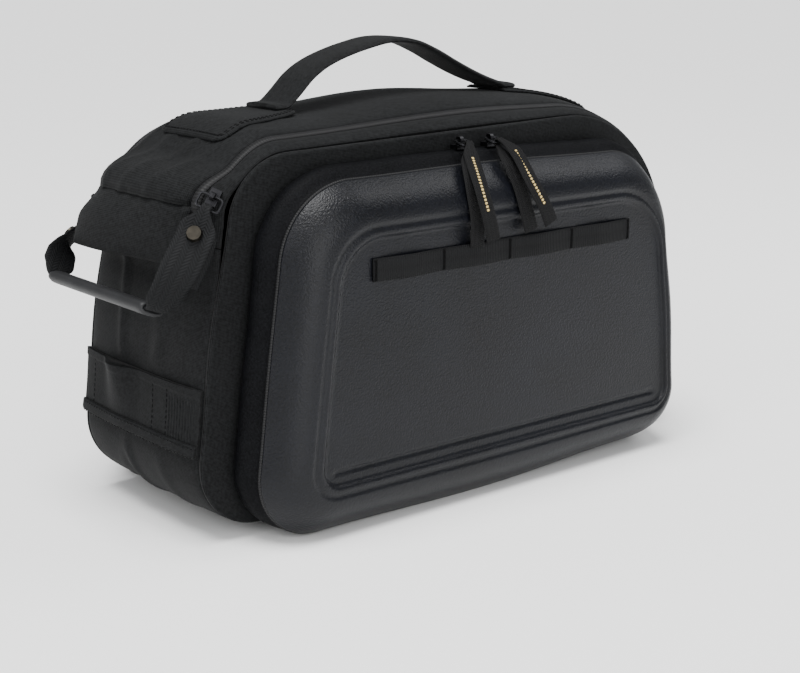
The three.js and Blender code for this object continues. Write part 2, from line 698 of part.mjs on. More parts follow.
// The loop's arms below their bails: reach to the rear, spread to the side and drop as shares of the way
// to the grip, the direction of the width, which turns as the arm twists, and the width
const ARMS = {
  near: [
    { reach: 0.2, out: 0, drop: 0.2, wide: [-0.6, 0.72, 0.28] },
    { reach: 0.33, out: 0.1, drop: 0.31, wide: [-0.6, 0.72, 0.28] },
    { reach: 0.57, out: 0.12, drop: 0.53, wide: [-0.8, 0.5, 0.31] },
    { reach: 0.8, out: 0, drop: 0.74, wide: [-0.93, 0.1, 0.375] },
    { reach: 0.93, out: -0.2, drop: 0.88, wide: [-0.93, 0, 0.375] },
    { reach: 0.98, out: -0.5, drop: 0.96, wide: [-0.93, 0, 0.375], folded: 0.6 },
    { reach: 1, out: -0.82, drop: 0.995, wide: [-0.93, 0, 0.375], folded: 1 },
    { reach: 1, out: -1.1, drop: 1, wide: [-0.93, 0, 0.375], folded: 1 },
  ],
  far: [
    { reach: 0.21, out: 0, drop: 0.28, wide: [-0.45, 0.86, 0.17] },
    { reach: 0.33, out: 0.1, drop: 0.33, wide: [-0.68, 0.65, 0.3] },
    { reach: 0.6, out: 0.1, drop: 0.47, wide: [-0.68, 0.65, 0.3] },
    { reach: 0.74, out: 0, drop: 0.64, wide: [-0.93, 0.1, 0.375] },
    { reach: 0.85, out: -0.2, drop: 0.8, wide: [-0.93, 0, 0.375] },
    { reach: 0.95, out: -0.5, drop: 0.91, wide: [-0.93, 0, 0.375], folded: 0.6 },
    { reach: 1, out: -0.82, drop: 0.985, wide: [-0.93, 0, 0.375], folded: 1 },
    { reach: 1, out: -1.1, drop: 1, wide: [-0.93, 0, 0.375], folded: 1 },
  ],
};
const TAILS = {
  near: [
    { reach: 0.15, out: -0.35, drop: 0.32, wide: [-0.6, 0.7, 0.3] },
    { reach: 0.3, out: -0.3, drop: 0.5, wide: [-0.85, 0.4, 0.35] },
    { reach: 0.52, out: -0.3, drop: 0.75, wide: [-0.93, 0.1, 0.375] },
  ],
  far: [
    { reach: 0.15, out: -0.35, drop: 0.32, wide: [-0.6, 0.7, 0.3] },
    { reach: 0.24, out: -0.35, drop: 0.44, wide: [-0.7, 0.6, 0.32] },
  ],
};
// The stretch of the arm that carries the snap starts at this row, with the snap this share along it
const SNAP_ROW = { near: 0, far: 1 };
const SNAP_SHARE = 0.45;

function addSnap(name, [from, to]) {
  const along = to.centre.clone().sub(from.centre).normalize();
  const face = along.clone().cross(from.wide).normalize();
  if (face.x > 0) face.negate();
  const cap = new THREE.CylinderGeometry(0.86 * SNAP_RADIUS, SNAP_RADIUS, SNAP_THICKNESS, 16);
  const snap = addMesh(`snap_cap_${name}`, cap, "metal");
  snap.quaternion.setFromUnitVectors(new THREE.Vector3(0, 1, 0), face);
  const lift = LOOP_LAYER / 2 + CURVED_GAP + SNAP_THICKNESS / 2;
  snap.position.lerpVectors(from.centre, to.centre, SNAP_SHARE).addScaledVector(face, lift);
}

function addRearLoop() {
  const aside = LID_HALF + GAP + ZIP_WIDTH / 2 + LOOP_SLIDER_ASIDE;
  let grip = null;
  const halves = SIDES.map(({ name, sign }) => {
    const step = stepAtHeight(bodyOutline, LOOP_SLIDER_HEIGHT[name], 1.5, 3);
    const { along, across, away } = wrapFrame(step, sign * aside);
    const seat = wrapPoint(step, sign * aside).addScaledVector(away, SLIDER_SEAT);
    const eye = placeSlider(`lid_slider_${name}`, seat, { along, away, eyeRuns: "across" });
    const wide = across.clone().multiplyScalar(-sign);
    const down = along.clone().negate().addScaledVector(away, LOOP_TILT);
    const { bail, bar } = bailGeometry(eye, wide, down, LID_BAIL_WIDTH);
    addMesh(`lid_bail_${name}`, bail, "metal");
    const towards = eye.clone().sub(bar).normalize();
    const face = wide.clone().cross(towards);
    if (face.dot(away) < 0) face.negate();
    grip = grip ?? { x: bar.x - LOOP_REACH, z: bar.z - LOOP_DROP };
    const place = ({ reach, out, drop, wide: w, folded = 0 }) => ({
      centre: new THREE.Vector3(
        THREE.MathUtils.lerp(bar.x, grip.x, reach),
        bar.y + sign * out * LOOP_SPREAD,
        THREE.MathUtils.lerp(bar.z, grip.z, drop),
      ),
      wide: new THREE.Vector3(w[0], -sign * w[1], w[2]),
      width: THREE.MathUtils.lerp(LOOP_WEBBING_WIDTH, LOOP_FOLDED_WIDTH, folded),
    });
    const fold = foldPath(bar, towards, face, LOOP_LAYER).map((centre) => ({ centre, wide, width: LOOP_NECK }));
    const arm = ARMS[name].map(place);
    addSnap(name, arm.slice(SNAP_ROW[name], SNAP_ROW[name] + 2));
    return [...TAILS[name].map(place).reverse(), ...fold, ...arm];
  });
  const bottom = halves[0][halves[0].length - 1];
  const stations = [...halves[0], ...halves[1].reverse()];
  addMesh("rear_loop_webbing", strapGeometry(stations, LOOP_LAYER), "webbing");
  return bottom;
}

function addSleeve(bottom) {
  const wide = bottom.wide.clone().normalize();
  const thick = new THREE.Vector3(0, 1, 0).cross(wide);
  const corner = SLEEVE_THICKNESS / 2;
  const half = LOOP_FOLDED_WIDTH / 2 + SLEEVE_WALL - corner;
  const shape = new THREE.Shape();
  shape.absarc(half, 0, corner, -Math.PI / 2, Math.PI / 2, false);
  shape.absarc(-half, 0, corner, Math.PI / 2, (3 * Math.PI) / 2, false);
  shape.closePath();
  const slot = new THREE.Path();
  const slotWide = LOOP_FOLDED_WIDTH / 2 + GAP;
  const slotThick = LOOP_LAYER / 2 + GAP;
  slot.moveTo(-slotWide, -slotThick);
  slot.lineTo(-slotWide, slotThick);
  slot.lineTo(slotWide, slotThick);
  slot.lineTo(slotWide, -slotThick);
  slot.closePath();
  shape.holes.push(slot);
  const options = { depth: SLEEVE_LENGTH, bevelEnabled: false, curveSegments: 6 };
  const sleeve = new THREE.ExtrudeGeometry(shape, options);
  sleeve.translate(0, 0, -SLEEVE_LENGTH / 2);
  sleeve.applyMatrix4(new THREE.Matrix4().makeBasis(wide, thick, wide.clone().cross(thick)));
  sleeve.translate(bottom.centre.x, 0, bottom.centre.z);
  addMesh("rear_loop_sleeve", sleeve, "rubber");
}

// Light loops: a band of cloth with its top edge free and gaping at one loop, over a sewn hem
function addLightBand() {
  const low = stepAtHeight(bodyOutline, LIGHT_BAND_BOTTOM, 1, 2);
  const high = stepAtHeight(bodyOutline, LIGHT_BAND_TOP, 1, 2);
  const hemTop = stepAtHeight(bodyOutline, LIGHT_BAND_BOTTOM + HEM_HEIGHT, 1, 2);
  const across = spread(-WRAP_EDGE, WRAP_EDGE, 12);
  const gape = (share, y) => {
    const along = THREE.MathUtils.clamp((y / WRAP_EDGE + 0.1) / 0.7, 0, 1);
    return LIGHT_BAND_GAPE * Math.sin(Math.PI * along) ** 2 * share ** 1.2;
  };
  const hemSteps = spread(low, hemTop, 2);
  const bandSteps = [...hemSteps, ...spread(hemTop, high, 3).slice(1)];
  const cloth = { across, thickness: LIGHT_BAND_CLOTH };
  const band = { ...cloth, steps: bandSteps, lift: CURVED_GAP + LIGHT_BAND_CLOTH, raise: gape };
  addMesh("light_band", wrapSheet(band), "cloth");
  const hemRaise = (share, y) => gape((share * (hemTop - low)) / (high - low), y);
  const hemLift = CURVED_GAP + LIGHT_BAND_CLOTH + GAP + LIGHT_BAND_CLOTH;
  const hem = { ...cloth, steps: hemSteps, lift: hemLift, raise: hemRaise };
  addMesh("light_band_hem", wrapSheet(hem), "webbing");
}

// The handle's middle line between its feet: place along the span and height as shares
const HANDLE_ARCH = [
  { along: 0.02, rise: 0.09 },
  { along: 0.055, rise: 0.24 },
  { along: 0.1, rise: 0.44 },
  { along: 0.16, rise: 0.62 },
  { along: 0.24, rise: 0.77 },
  { along: 0.34, rise: 0.9 },
  { along: 0.46, rise: 1 },
  { along: 0.57, rise: 0.95 },
  { along: 0.67, rise: 0.76 },
  { along: 0.76, rise: 0.53 },
  { along: 0.85, rise: 0.31 },
  { along: 0.93, rise: 0.14 },
  { along: 0.98, rise: 0.05 },
];

function addHandle() {
  const lidStep = (x) => stepAtLength(bodyOutline, x, 2, 5);
  const patchLift = CURVED_GAP + PATCH_THICKNESS;
  const seat = patchLift + GAP + HANDLE_THICKNESS / 2;
  const footX = [HANDLE_CENTRE - HANDLE_SPAN / 2, HANDLE_CENTRE + HANDLE_SPAN / 2];
  const onLid = (x) => wrapPoint(lidStep(x), 0, seat);
  const crownZ = onLid(HANDLE_CENTRE).z;
  const tab = (x) => onLid(x);
  const arch = HANDLE_ARCH.map(({ along, rise }) => {
    const x = footX[0] + along * HANDLE_SPAN;
    const chord = THREE.MathUtils.lerp(onLid(footX[0]).z, onLid(footX[1]).z, along);
    return new THREE.Vector3(x, 0, THREE.MathUtils.lerp(chord, crownZ + HANDLE_RISE, rise));
  });
  const path = [
    tab(footX[0] - HANDLE_TAB),
    tab(footX[0] - HANDLE_TAB / 2),
    tab(footX[0] - 1),
    ...arch,
    tab(footX[1] + 1),
    tab(footX[1] + HANDLE_TAB / 2),
    tab(footX[1] + HANDLE_TAB),
  ];
  const wide = new THREE.Vector3(0, 1, 0);
  const stations = path.map((centre) => ({ centre, wide, width: HANDLE_WIDTH }));
  addMesh("top_handle", strapGeometry(stations, HANDLE_THICKNESS), "cloth");

  const patches = [
    { name: "rear", from: footX[0] - PATCH_LENGTH, to: footX[0] + 2, wideFirst: true },
    { name: "front", from: footX[1] - 2, to: footX[1] + PATCH_LENGTH, wideFirst: false },
  ];
  for (const { name, from, to, wideFirst } of patches) {
    const steps = rowSteps(lidStep(from), lidStep(to));
    const across = (share) => {
      const flare = Math.sqrt(wideFirst ? 1 - share : share);
      const half = THREE.MathUtils.lerp(HANDLE_WIDTH / 2 + 2, PATCH_WIDTH / 2, flare);
      return spread(-half, half, 8);
    };
    const patch = wrapSheet({ steps, across, lift: patchLift, thickness: PATCH_THICKNESS });
    addMesh(`handle_patch_${name}`, patch, "cloth");
  }
}

addBodyPanels();
addLid();
addPockets();
addDaisyChains();
addPocketPulls();
const loopBottom = addRearLoop();
addSleeve(loopBottom);
addLightBand();
addHandle();

export default bag;
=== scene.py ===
# A trunk bag for a bicycle rack, standing on a plain floor. Metres, +X towards the front of the bicycle,
# -Y towards the near side, +Z up. The base that a rack carries is at z = 0, and the bag stands on its
# side pockets, which hang a little lower.
import math
from bisect import bisect_left

import bmesh
import bpy
from mathutils import Matrix, Vector, noise


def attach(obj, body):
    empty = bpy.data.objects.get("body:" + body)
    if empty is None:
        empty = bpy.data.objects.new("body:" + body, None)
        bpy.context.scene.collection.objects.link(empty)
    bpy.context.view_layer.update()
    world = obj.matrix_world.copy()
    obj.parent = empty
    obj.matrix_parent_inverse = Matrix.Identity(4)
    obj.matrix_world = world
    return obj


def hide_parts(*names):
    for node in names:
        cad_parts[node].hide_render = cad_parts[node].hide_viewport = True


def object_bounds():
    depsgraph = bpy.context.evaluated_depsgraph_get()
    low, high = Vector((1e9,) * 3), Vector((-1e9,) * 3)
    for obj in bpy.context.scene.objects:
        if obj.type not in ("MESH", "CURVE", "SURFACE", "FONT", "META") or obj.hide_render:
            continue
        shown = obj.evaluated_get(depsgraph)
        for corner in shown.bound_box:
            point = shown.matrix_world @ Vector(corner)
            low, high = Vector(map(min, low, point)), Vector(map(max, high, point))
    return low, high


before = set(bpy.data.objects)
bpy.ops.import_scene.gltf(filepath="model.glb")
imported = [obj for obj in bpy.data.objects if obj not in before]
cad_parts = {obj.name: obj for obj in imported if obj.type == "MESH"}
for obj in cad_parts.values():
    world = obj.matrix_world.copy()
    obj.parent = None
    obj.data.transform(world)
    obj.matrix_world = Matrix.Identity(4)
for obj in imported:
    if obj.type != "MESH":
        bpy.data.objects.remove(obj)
cad_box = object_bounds()
MM = 0.001


# The room: a pale floor under one broad, high overhead light, with soft boxes at the front, the left and
# the rear, as in a product studio. The camera stands to the rear left of the bag.
FLOOR_COLOUR = (0.9, 0.9, 0.895)
FLOOR_HEIGHT = cad_box[0].z
PHOTO_WIDTH = 800
FOCAL_PIXELS = 1575
CAMERA_PLACE = Vector((-0.6582, -0.8096, 0.3402))
CAMERA_AZIMUTH = math.radians(-39.1)
CAMERA_HEIGHT = math.radians(14.3)
OVERHEAD = {"from": (-0.2, -0.1, 1), "strength": 5.2, "spread": math.radians(36)}
LAMPS = [
    {"name": "left box", "place": (-1.5, -0.5, 1.0), "size": 0.9, "power": 9},
    {"name": "front box", "place": (1.0, -0.38, 1.35), "size": 0.8, "power": 8},
    {"name": "side box", "place": (-0.6, -2.2, 0.9), "size": 1.8, "power": 45},
    {"name": "rear box", "place": (-1.9, 0.9, 0.7), "size": 0.9, "power": 4},
]
AIM = Vector((-0.02, 0, 0.13))
ROOM_COLOUR = (0.95, 0.97, 1, 1)
ROOM_LIGHT = 0.4


def wire(owner, node, inputs):
    """Fill a shader node's inputs, each with a plain value or with the output of another node."""
    for socket, value in inputs.items():
        if isinstance(value, bpy.types.NodeSocket):
            owner.node_tree.links.new(value, node.inputs[socket])
        else:
            node.inputs[socket].default_value = value
    return node


def wire_surface(material, inputs):
    wire(material, material.node_tree.nodes["Principled BSDF"], inputs)


def new_material(name, colour, finish):
    """A material with a base colour, and a finish that gives the other inputs of its surface."""
    material = bpy.data.materials.new(name)
    material.use_nodes = True
    wire_surface(material, {"Base Color": (*colour, 1), **finish})
    return material


def add_object(name, data):
    made = bpy.data.objects.new(name, data)
    bpy.context.scene.collection.objects.link(made)
    return made


def lay_floor():
    mesh = bpy.data.meshes.new("floor")
    corners = [(-30, -30), (30, -30), (30, 30), (-30, 30)]
    mesh.from_pydata([(x, y, FLOOR_HEIGHT) for x, y in corners], [], [(0, 1, 2, 3)])
    floor = add_object("floor", mesh)
    floor.data.materials.append(new_material("pale floor", FLOOR_COLOUR, {"Roughness": 0.8}))


def hang_lamps():
    overhead = bpy.data.lights.new("overhead", "SUN")
    overhead.energy = OVERHEAD["strength"]
    overhead.angle = OVERHEAD["spread"]
    turn = Vector(OVERHEAD["from"]).to_track_quat("Z", "Y").to_matrix().to_4x4()
    add_object("overhead", overhead).matrix_world = turn
    for lamp in LAMPS:
        light = bpy.data.lights.new(lamp["name"], "AREA")
        light.size = lamp["size"]
        light.energy = lamp["power"]
        place = Vector(lamp["place"])
        turn = (AIM - place).to_track_quat("-Z", "Y").to_matrix().to_4x4()
        add_object(lamp["name"], light).matrix_world = Matrix.Translation(place) @ turn
    world = bpy.data.worlds.new("studio")
    world.use_nodes = True
    wire(world, world.node_tree.nodes["Background"], {"Color": ROOM_COLOUR, "Strength": ROOM_LIGHT})
    bpy.context.scene.world = world


def set_camera():
    lens = bpy.data.cameras.new("camera")
    lens.sensor_width = 36
    lens.lens = FOCAL_PIXELS / PHOTO_WIDTH * lens.sensor_width
    lens.clip_start = 0.05
    lens.clip_end = 40
    camera = add_object("camera", lens)
    back = Vector((
        math.sin(CAMERA_AZIMUTH) * math.cos(CAMERA_HEIGHT),
        -math.cos(CAMERA_AZIMUTH) * math.cos(CAMERA_HEIGHT),
        math.sin(CAMERA_HEIGHT),
    ))
    camera.location = CAMERA_PLACE
    camera.rotation_mode = "QUATERNION"
    camera.rotation_quaternion = (-back).to_track_quat("-Z", "Y")
    bpy.context.scene.camera = camera


lay_floor()
hang_lamps()
set_camera()


# The cloth of the body: a dense matt black nylon over thin foam, cut in panels. The wrap runs over the
# rear end, the lid and the front end, and a flat panel with round corners closes each side.
BODY_LENGTH = 412 * MM
BODY_HEIGHT = 223 * MM
HALF_WIDTH = 69 * MM
CLOTH = 2.4 * MM
GAP = 0.3 * MM
WRAP_EDGE = HALF_WIDTH - CLOTH
CROWN_RISE = 24 * MM
CROWN_POWER = 3.5
CLOTH_COLOUR = (0.0048, 0.0051, 0.0054)
CLOTH_THREAD = 0.9 * MM
BODY_CORNERS = [
    {"x": -0.513, "z": 0, "radius": 40 * MM, "bow": 3 * MM},
    {"x": -0.422, "z": 0.98, "radius": 43 * MM, "bow": 0},
    {"x": 0.414, "z": 1.014, "radius": 95 * MM, "bow": 5 * MM},
    {"x": 0.495, "z": 0, "radius": 40 * MM, "bow": 0},
]
CROWN_STEPS = [0, 1, 1.7, 1.95, 2.1, 2.5, 3, 3.6, 4.2, 5, 5.6, 6, 7, 8]
CROWN_SHARES = [0, 0.17, 0.3, 0.95, 1.15, 0.38, 0.55, 0.73, 0.42, 0.46, 0.3, 0.17, 0, 0]


def round_outline(corners):
    """A function from a step round the side outline to its point and outward normal, in X and Z."""
    points = [Vector((c["x"] * BODY_LENGTH, c["z"] * BODY_HEIGHT)) for c in corners]
    count = len(points)
    ways = [(points[(k + 1) % count] - points[k]).normalized() for k in range(count)]
    outward = [Vector((-way.y, way.x)) for way in ways]
    rounds = []
    for k, corner in enumerate(corners):
        turn = math.acos(max(-1, min(1, ways[k - 1].dot(ways[k]))))
        reach = corner["radius"] * math.tan(turn / 2)
        start = points[k] - ways[k - 1] * reach
        centre = start - outward[k - 1] * corner["radius"]
        angle = math.atan2(outward[k - 1].y, outward[k - 1].x)
        rounds.append((start, points[k] + ways[k] * reach, centre, angle, turn))

    def at(step):
        step = step % (2 * count)
        k = int(step // 2)
        along = step - 2 * k
        start, end, centre, angle, turn = rounds[k]
        if along <= 1:
            normal = Vector((math.cos(angle - turn * along), math.sin(angle - turn * along)))
            return centre + normal * corners[k]["radius"], normal
        share = along - 1
        target = rounds[(k + 1) % count][0]
        bow = corners[k]["bow"]
        slope = bow * math.pi * math.sin(2 * math.pi * share) / (target - end).length
        point = end.lerp(target, share) + outward[k] * bow * math.sin(math.pi * share) ** 2
        return point, (outward[k] - ways[k] * slope).normalized()

    return at


body_outline = round_outline(BODY_CORNERS)


def blend_share(value, low, high):
    share = max(0, min(1, (value - low) / (high - low)))
    return share * share * (3 - 2 * share)


def crown_share(step):
    step = step % 8
    upper = bisect_left(CROWN_STEPS, step)
    if upper <= 0:
        return CROWN_SHARES[0]
    share = (step - CROWN_STEPS[upper - 1]) / (CROWN_STEPS[upper] - CROWN_STEPS[upper - 1])
    eased = (1 - math.cos(math.pi * share)) / 2
    return CROWN_SHARES[upper - 1] + (CROWN_SHARES[upper] - CROWN_SHARES[upper - 1]) * eased


def on_wrap(step, y, lift=0):
    point, normal = body_outline(step)
    across = 1 - min(1, abs(y) / HALF_WIDTH) ** CROWN_POWER
    rise = CROWN_RISE * crown_share(step) * across + lift
    return Vector((point.x + normal.x * rise, y, point.y + normal.y * rise))


def off_wrap(step, y):
    """The way out of the wrap's surface."""
    along = on_wrap(step + 0.01, y) - on_wrap(step - 0.01, y)
    across = on_wrap(step, y + 0.5 * MM) - on_wrap(step, y - 0.5 * MM)
    away = along.cross(across).normalized()
    return away if away.dot(on_wrap(step, y) - Vector((0, 0, 0.1))) > 0 else -away


def step_where(outline, wanted, low, high, axis):
    """The step between two others at which an outline reaches a place along X (0) or a height (1)."""
    rising = outline(high)[0][axis] > outline(low)[0][axis]
    for _ in range(40):
        middle = (low + high) / 2
        if (outline(middle)[0][axis] < wanted) == rising:
            low = middle
        else:
            high = middle
    return (low + high) / 2


def even_steps(outline, first, last, pitch):
    """Steps from first to last that lie about a pitch apart along the outline."""
    fine = [first + (last - first) * i / 600 for i in range(601)]
    lengths = [0]
    for a, b in zip(fine, fine[1:]):
        lengths.append(lengths[-1] + (outline(b)[0] - outline(a)[0]).length)
    count = max(2, round(lengths[-1] / pitch))
    places = [lengths[-1] * i / count for i in range(count + 1)]
    steps = []
    for place in places:
        upper = max(1, min(len(fine) - 1, bisect_left(lengths, place)))
        share = (place - lengths[upper - 1]) / (lengths[upper] - lengths[upper - 1])
        steps.append(fine[upper - 1] + (fine[upper] - fine[upper - 1]) * share)
    return steps, places


def ring_steps(outline, pitch):
    """Steps once round an outline, with the length that leads to each."""
    steps, lengths, so_far = [], [], 0
    for k in range(8):
        part, places = even_steps(outline, k, k + 1, pitch)
        steps += part[:-1]
        lengths += [so_far + place for place in places[:-1]]
        so_far += places[-1]
    return steps, lengths


def spread(low, high, count):
    return [low + (high - low) * i / count for i in range(count + 1)]


def make_piece(name, points, faces, material, uvs=None):
    """A smooth closed mesh. The uvs are one pair in metres for each point."""
    mesh = bpy.data.meshes.new(name)
    mesh.from_pydata([tuple(p) for p in points], [], faces)
    if uvs:
        layer = mesh.uv_layers.new(name="cloth")
        for loop in mesh.loops:
            layer.data[loop.index].uv = uvs[loop.vertex_index]
    work = bmesh.new()
    work.from_mesh(mesh)
    bmesh.ops.recalc_face_normals(work, faces=work.faces)
    work.to_mesh(mesh)
    work.free()
    for polygon in mesh.polygons:
        polygon.use_smooth = True
    mesh.materials.append(material)
    return add_object(name, mesh)


def sheet_piece(name, rows, columns, place, material):
    """A sheet with thickness: place gives (outer point, inner point, uv) for a row and a column."""
    spots = [place(row, column) for row in rows for column in columns]
    points = [spot[0] for spot in spots] + [spot[1] for spot in spots]
    width = len(columns)
    under = len(spots)
    faces = []
    for i in range(len(rows) - 1):
        for j in range(width - 1):
            a = i * width + j
            faces.append((a, a + 1, a + width + 1, a + width))
            faces.append((under + a, under + a + width, under + a + width + 1, under + a + 1))
    rim = list(range(width))
    rim += [i * width + width - 1 for i in range(1, len(rows))]
    rim += [(len(rows) - 1) * width + j for j in range(width - 2, -1, -1)]
    rim += [i * width for i in range(len(rows) - 2, 0, -1)]
    for a, b in zip(rim, rim[1:] + rim[:1]):
        faces.append((a, b, under + b, under + a))
    return make_piece(name, points, faces, material, [spot[2] for spot in spots] * 2)


def ring_faces(count, size, closed):
    """Faces between rings of size points each. When closed, the last ring meets the first."""
    faces = []
    for i in range(count if closed else count - 1):
        ring, following = i * size, (i + 1) % count * size
        for j in range(size):
            k = (j + 1) % size
            faces.append((ring + j, ring + k, following + k, following + j))
    return faces


def fasten(piece, node):
    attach(piece, "root")
    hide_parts(node)


def add_node(material, kind, inputs):
    return wire(material, material.node_tree.nodes.new(f"ShaderNode{kind}"), inputs)


def maths(material, operation, *values):
    node = add_node(material, "Math", {})
    node.operation = operation
    return wire(material, node, dict(enumerate(values))).outputs["Value"]


def bands(material, direction, pitch, distortion=0):
    """Waves of a pitch on the piece's own cloth lengths."""
    lengths = add_node(material, "UVMap", {})
    lengths.uv_map = "cloth"
    inputs = {"Vector": lengths.outputs["UV"], "Scale": 0.314 / pitch, "Distortion": distortion, "Detail": 1}
    waves = add_node(material, "TexWave", inputs)
    waves.bands_direction = direction
    return waves.outputs["Fac"]


def speckle(material, scale, detail=2, roughness=0.5):
    """Noise in the piece's own space."""
    place = add_node(material, "TexCoord", {}).outputs["Object"]
    inputs = {"Vector": place, "Scale": scale, "Detail": detail, "Roughness": roughness}
    return add_node(material, "TexNoise", inputs).outputs["Fac"]


def tint(material, tone, colour, span, shares):
    """The base colour: from a dark to a light share of a colour over a span of the tone."""
    colours = add_node(material, "ValToRGB", {"Fac": tone})
    for element, position, share in zip(colours.color_ramp.elements, span, shares):
        element.position = position
        element.color = (*[share * c for c in colour], 1)
    wire_surface(material, {"Base Color": colours.outputs["Color"]})


def emboss(material, height, strength, distance):
    relief = add_node(material, "Bump", {"Height": height, "Strength": strength, "Distance": distance})
    wire_surface(material, {"Normal": relief.outputs["Normal"]})


# Crossed threads, with fine specks and faint rubbed and dusty patches
body_cloth = new_material("body cloth", CLOTH_COLOUR, {
    "Roughness": 0.82, "Sheen Weight": 0.02, "Sheen Roughness": 0.4, "Specular IOR Level": 0.12,
})
weave = maths(body_cloth, "MULTIPLY", *[bands(body_cloth, way, CLOTH_THREAD, 0.35) for way in "XY"])
weave = maths(body_cloth, "MULTIPLY_ADD", weave, 0.6, speckle(body_cloth, 520, 4))
worn = maths(body_cloth, "MULTIPLY_ADD", speckle(body_cloth, 14, 5, 0.62), 0.35, weave)
tint(body_cloth, worn, CLOTH_COLOUR, (0.58, 1), (0.25, 1.9))
emboss(body_cloth, weave, 0.6, 0.2 * MM)


# The body's panels: the base, the rear end, the front end and the two sides. Each is cloth laminated to
# thin foam, sewn to the next with its edges turned in, so the faces swell a little between the seams.
SEAM_ROLL = 4.5 * MM
SEAM_SINK = 0.9 * MM
PANEL_PITCH = 3 * MM
REAR_PANEL_TOP = 167 * MM
FRONT_PANEL_TOP = 150 * MM
FLAP_SEAM = 187 * MM
STEP_GAP = 0.004
REAR_STEP = step_where(body_outline, REAR_PANEL_TOP, 1, 2.5, 1)
FRONT_STEP = step_where(body_outline, FRONT_PANEL_TOP, 4.5, 6, 1)
FLAP_STEP = step_where(body_outline, FLAP_SEAM, 1.5, 2.9, 1)
SIDES = (("near", -1), ("far", 1))
ALL_SEWN = (True,) * 4
NONE_SEWN = (False,) * 4


def seam_dip(distance):
    """How far cloth lies below its full height near a sewn edge."""
    return SEAM_SINK * (1 - blend_share(distance, 0, SEAM_ROLL)) ** 1.5


def soft_ripple(point, size, amount, seed=0):
    """A slow unevenness of soft cloth, the same every time."""
    return amount * noise.noise(point / size + Vector((seed * 7.3, seed * 3.1, 0)))


def wrap_piece(name, first, last, low_y=-WRAP_EDGE, high_y=WRAP_EDGE, *, material=body_cloth, thickness=CLOTH,
               lift=0, pitch=PANEL_PITCH, raise_by=None, ripple=0.5 * MM, seams=ALL_SEWN):
    """A panel of the wrap from one step to another, sunk at its sewn edges: first, last, low y, high y."""
    steps, lengths = even_steps(body_outline, first, last, pitch)
    widths = spread(low_y, high_y, max(2, round(abs(high_y - low_y) / pitch)))

    def place(row, y):
        step, length = row
        away = off_wrap(step, y)
        start = on_wrap(step, y, lift)
        edges = (length, lengths[-1] - length, abs(y - low_y), abs(y - high_y))
        nearest = min([edge for edge, held in zip(edges, seams) if held], default=1)
        free = blend_share(nearest, 0, 12 * MM)
        height = -seam_dip(nearest) + soft_ripple(start, 45 * MM, ripple) * free
        if raise_by:
            height += raise_by(start, length, lengths[-1], y) * blend_share(nearest, 0, 8 * MM)
        return start + away * height, start - away * thickness, (length, y)

    return sheet_piece(name, list(zip(steps, lengths)), widths, place, material)


base = wrap_piece("base", 7 + STEP_GAP, 8 - STEP_GAP, ripple=0)
fasten(base, "base_panel")


def slack_folds(start, length, whole, y):
    """Soft folds that run down the rear panel, held flatter behind the light loops."""
    calm = 1 - 0.8 * (blend_share(start.z, 32 * MM, 43 * MM) - blend_share(start.z, 88 * MM, 98 * MM))
    height = 0
    for top, foot, width, rise in ((26, 4, 4.5, 1.5), (-18, -34, 6, 0.9), (-60, 50, 5, 0.7)):
        middle = (top + (foot - top) * (1 - length / whole)) * MM
        height += rise * MM * math.exp(-((y - middle) / (width * MM)) ** 2)
    return height * calm


rear_end = wrap_piece("rear_end", 0, REAR_STEP, ripple=1.4 * MM, raise_by=slack_folds, pitch=2.2 * MM)
fasten(rear_end, "rear_end_panel")

front_end = wrap_piece("front_end", FRONT_STEP, 7, ripple=1.4 * MM)
fasten(front_end, "front_end_panel")


def side_piece(name, sign):
    """A flat side panel whose edge is turned over into the seam round it."""
    steps = ring_steps(body_outline, PANEL_PITCH)[0]
    rings = [(0, CLOTH, 0), (0, 0.9 * MM, 0), (1.1 * MM, 0, 0), (2.6 * MM, 0.15 * MM, 0), (5 * MM, 0, 0)]
    rings += [(inset * MM, 0, 1) for inset in (12, 24, 40, 60, 80)]
    points, uvs = [], []
    for inset, sink, soft in rings:
        for step in steps:
            point, normal = body_outline(step)
            place = Vector((point.x - normal.x * inset, 0, point.y - normal.y * inset))
            depth = HALF_WIDTH - sink + soft * abs(soft_ripple(place, 50 * MM, 0.25 * MM, sign))
            points.append(Vector((place.x, sign * depth, place.z)))
            uvs.append((place.x, place.z))
    count = len(steps)
    faces = ring_faces(len(rings), count, False)
    for level, ring in ((HALF_WIDTH, (len(rings) - 1) * count), (HALF_WIDTH - CLOTH, 0)):
        middle = len(points)
        points.append(Vector((-0.004, sign * level, 0.1)))
        uvs.append((-0.004, 0.1))
        for j in range(count):
            faces.append((ring + j, ring + (j + 1) % count, middle))
    return make_piece(name, points, faces, body_cloth, uvs)


for side, sign in SIDES:
    side_panel = side_piece(f"side_{side}", sign)
    fasten(side_panel, f"side_panel_{side}")


# The lid: one crowned panel between two coil zips, with a narrow gusset outside each zip. Behind its
# rear seam a short flap hangs free over the rear panel.
LID_HALF = 52 * MM
ZIP_WIDTH = 4.4 * MM
FLAP_BOTTOM = 158 * MM
FLAP_LENGTH = 33 * MM
FLAP_STANDOFF = 23 * MM
FLAP_SWING = 9 * MM
ZIP_COLOUR = (0.005, 0.005, 0.0055)


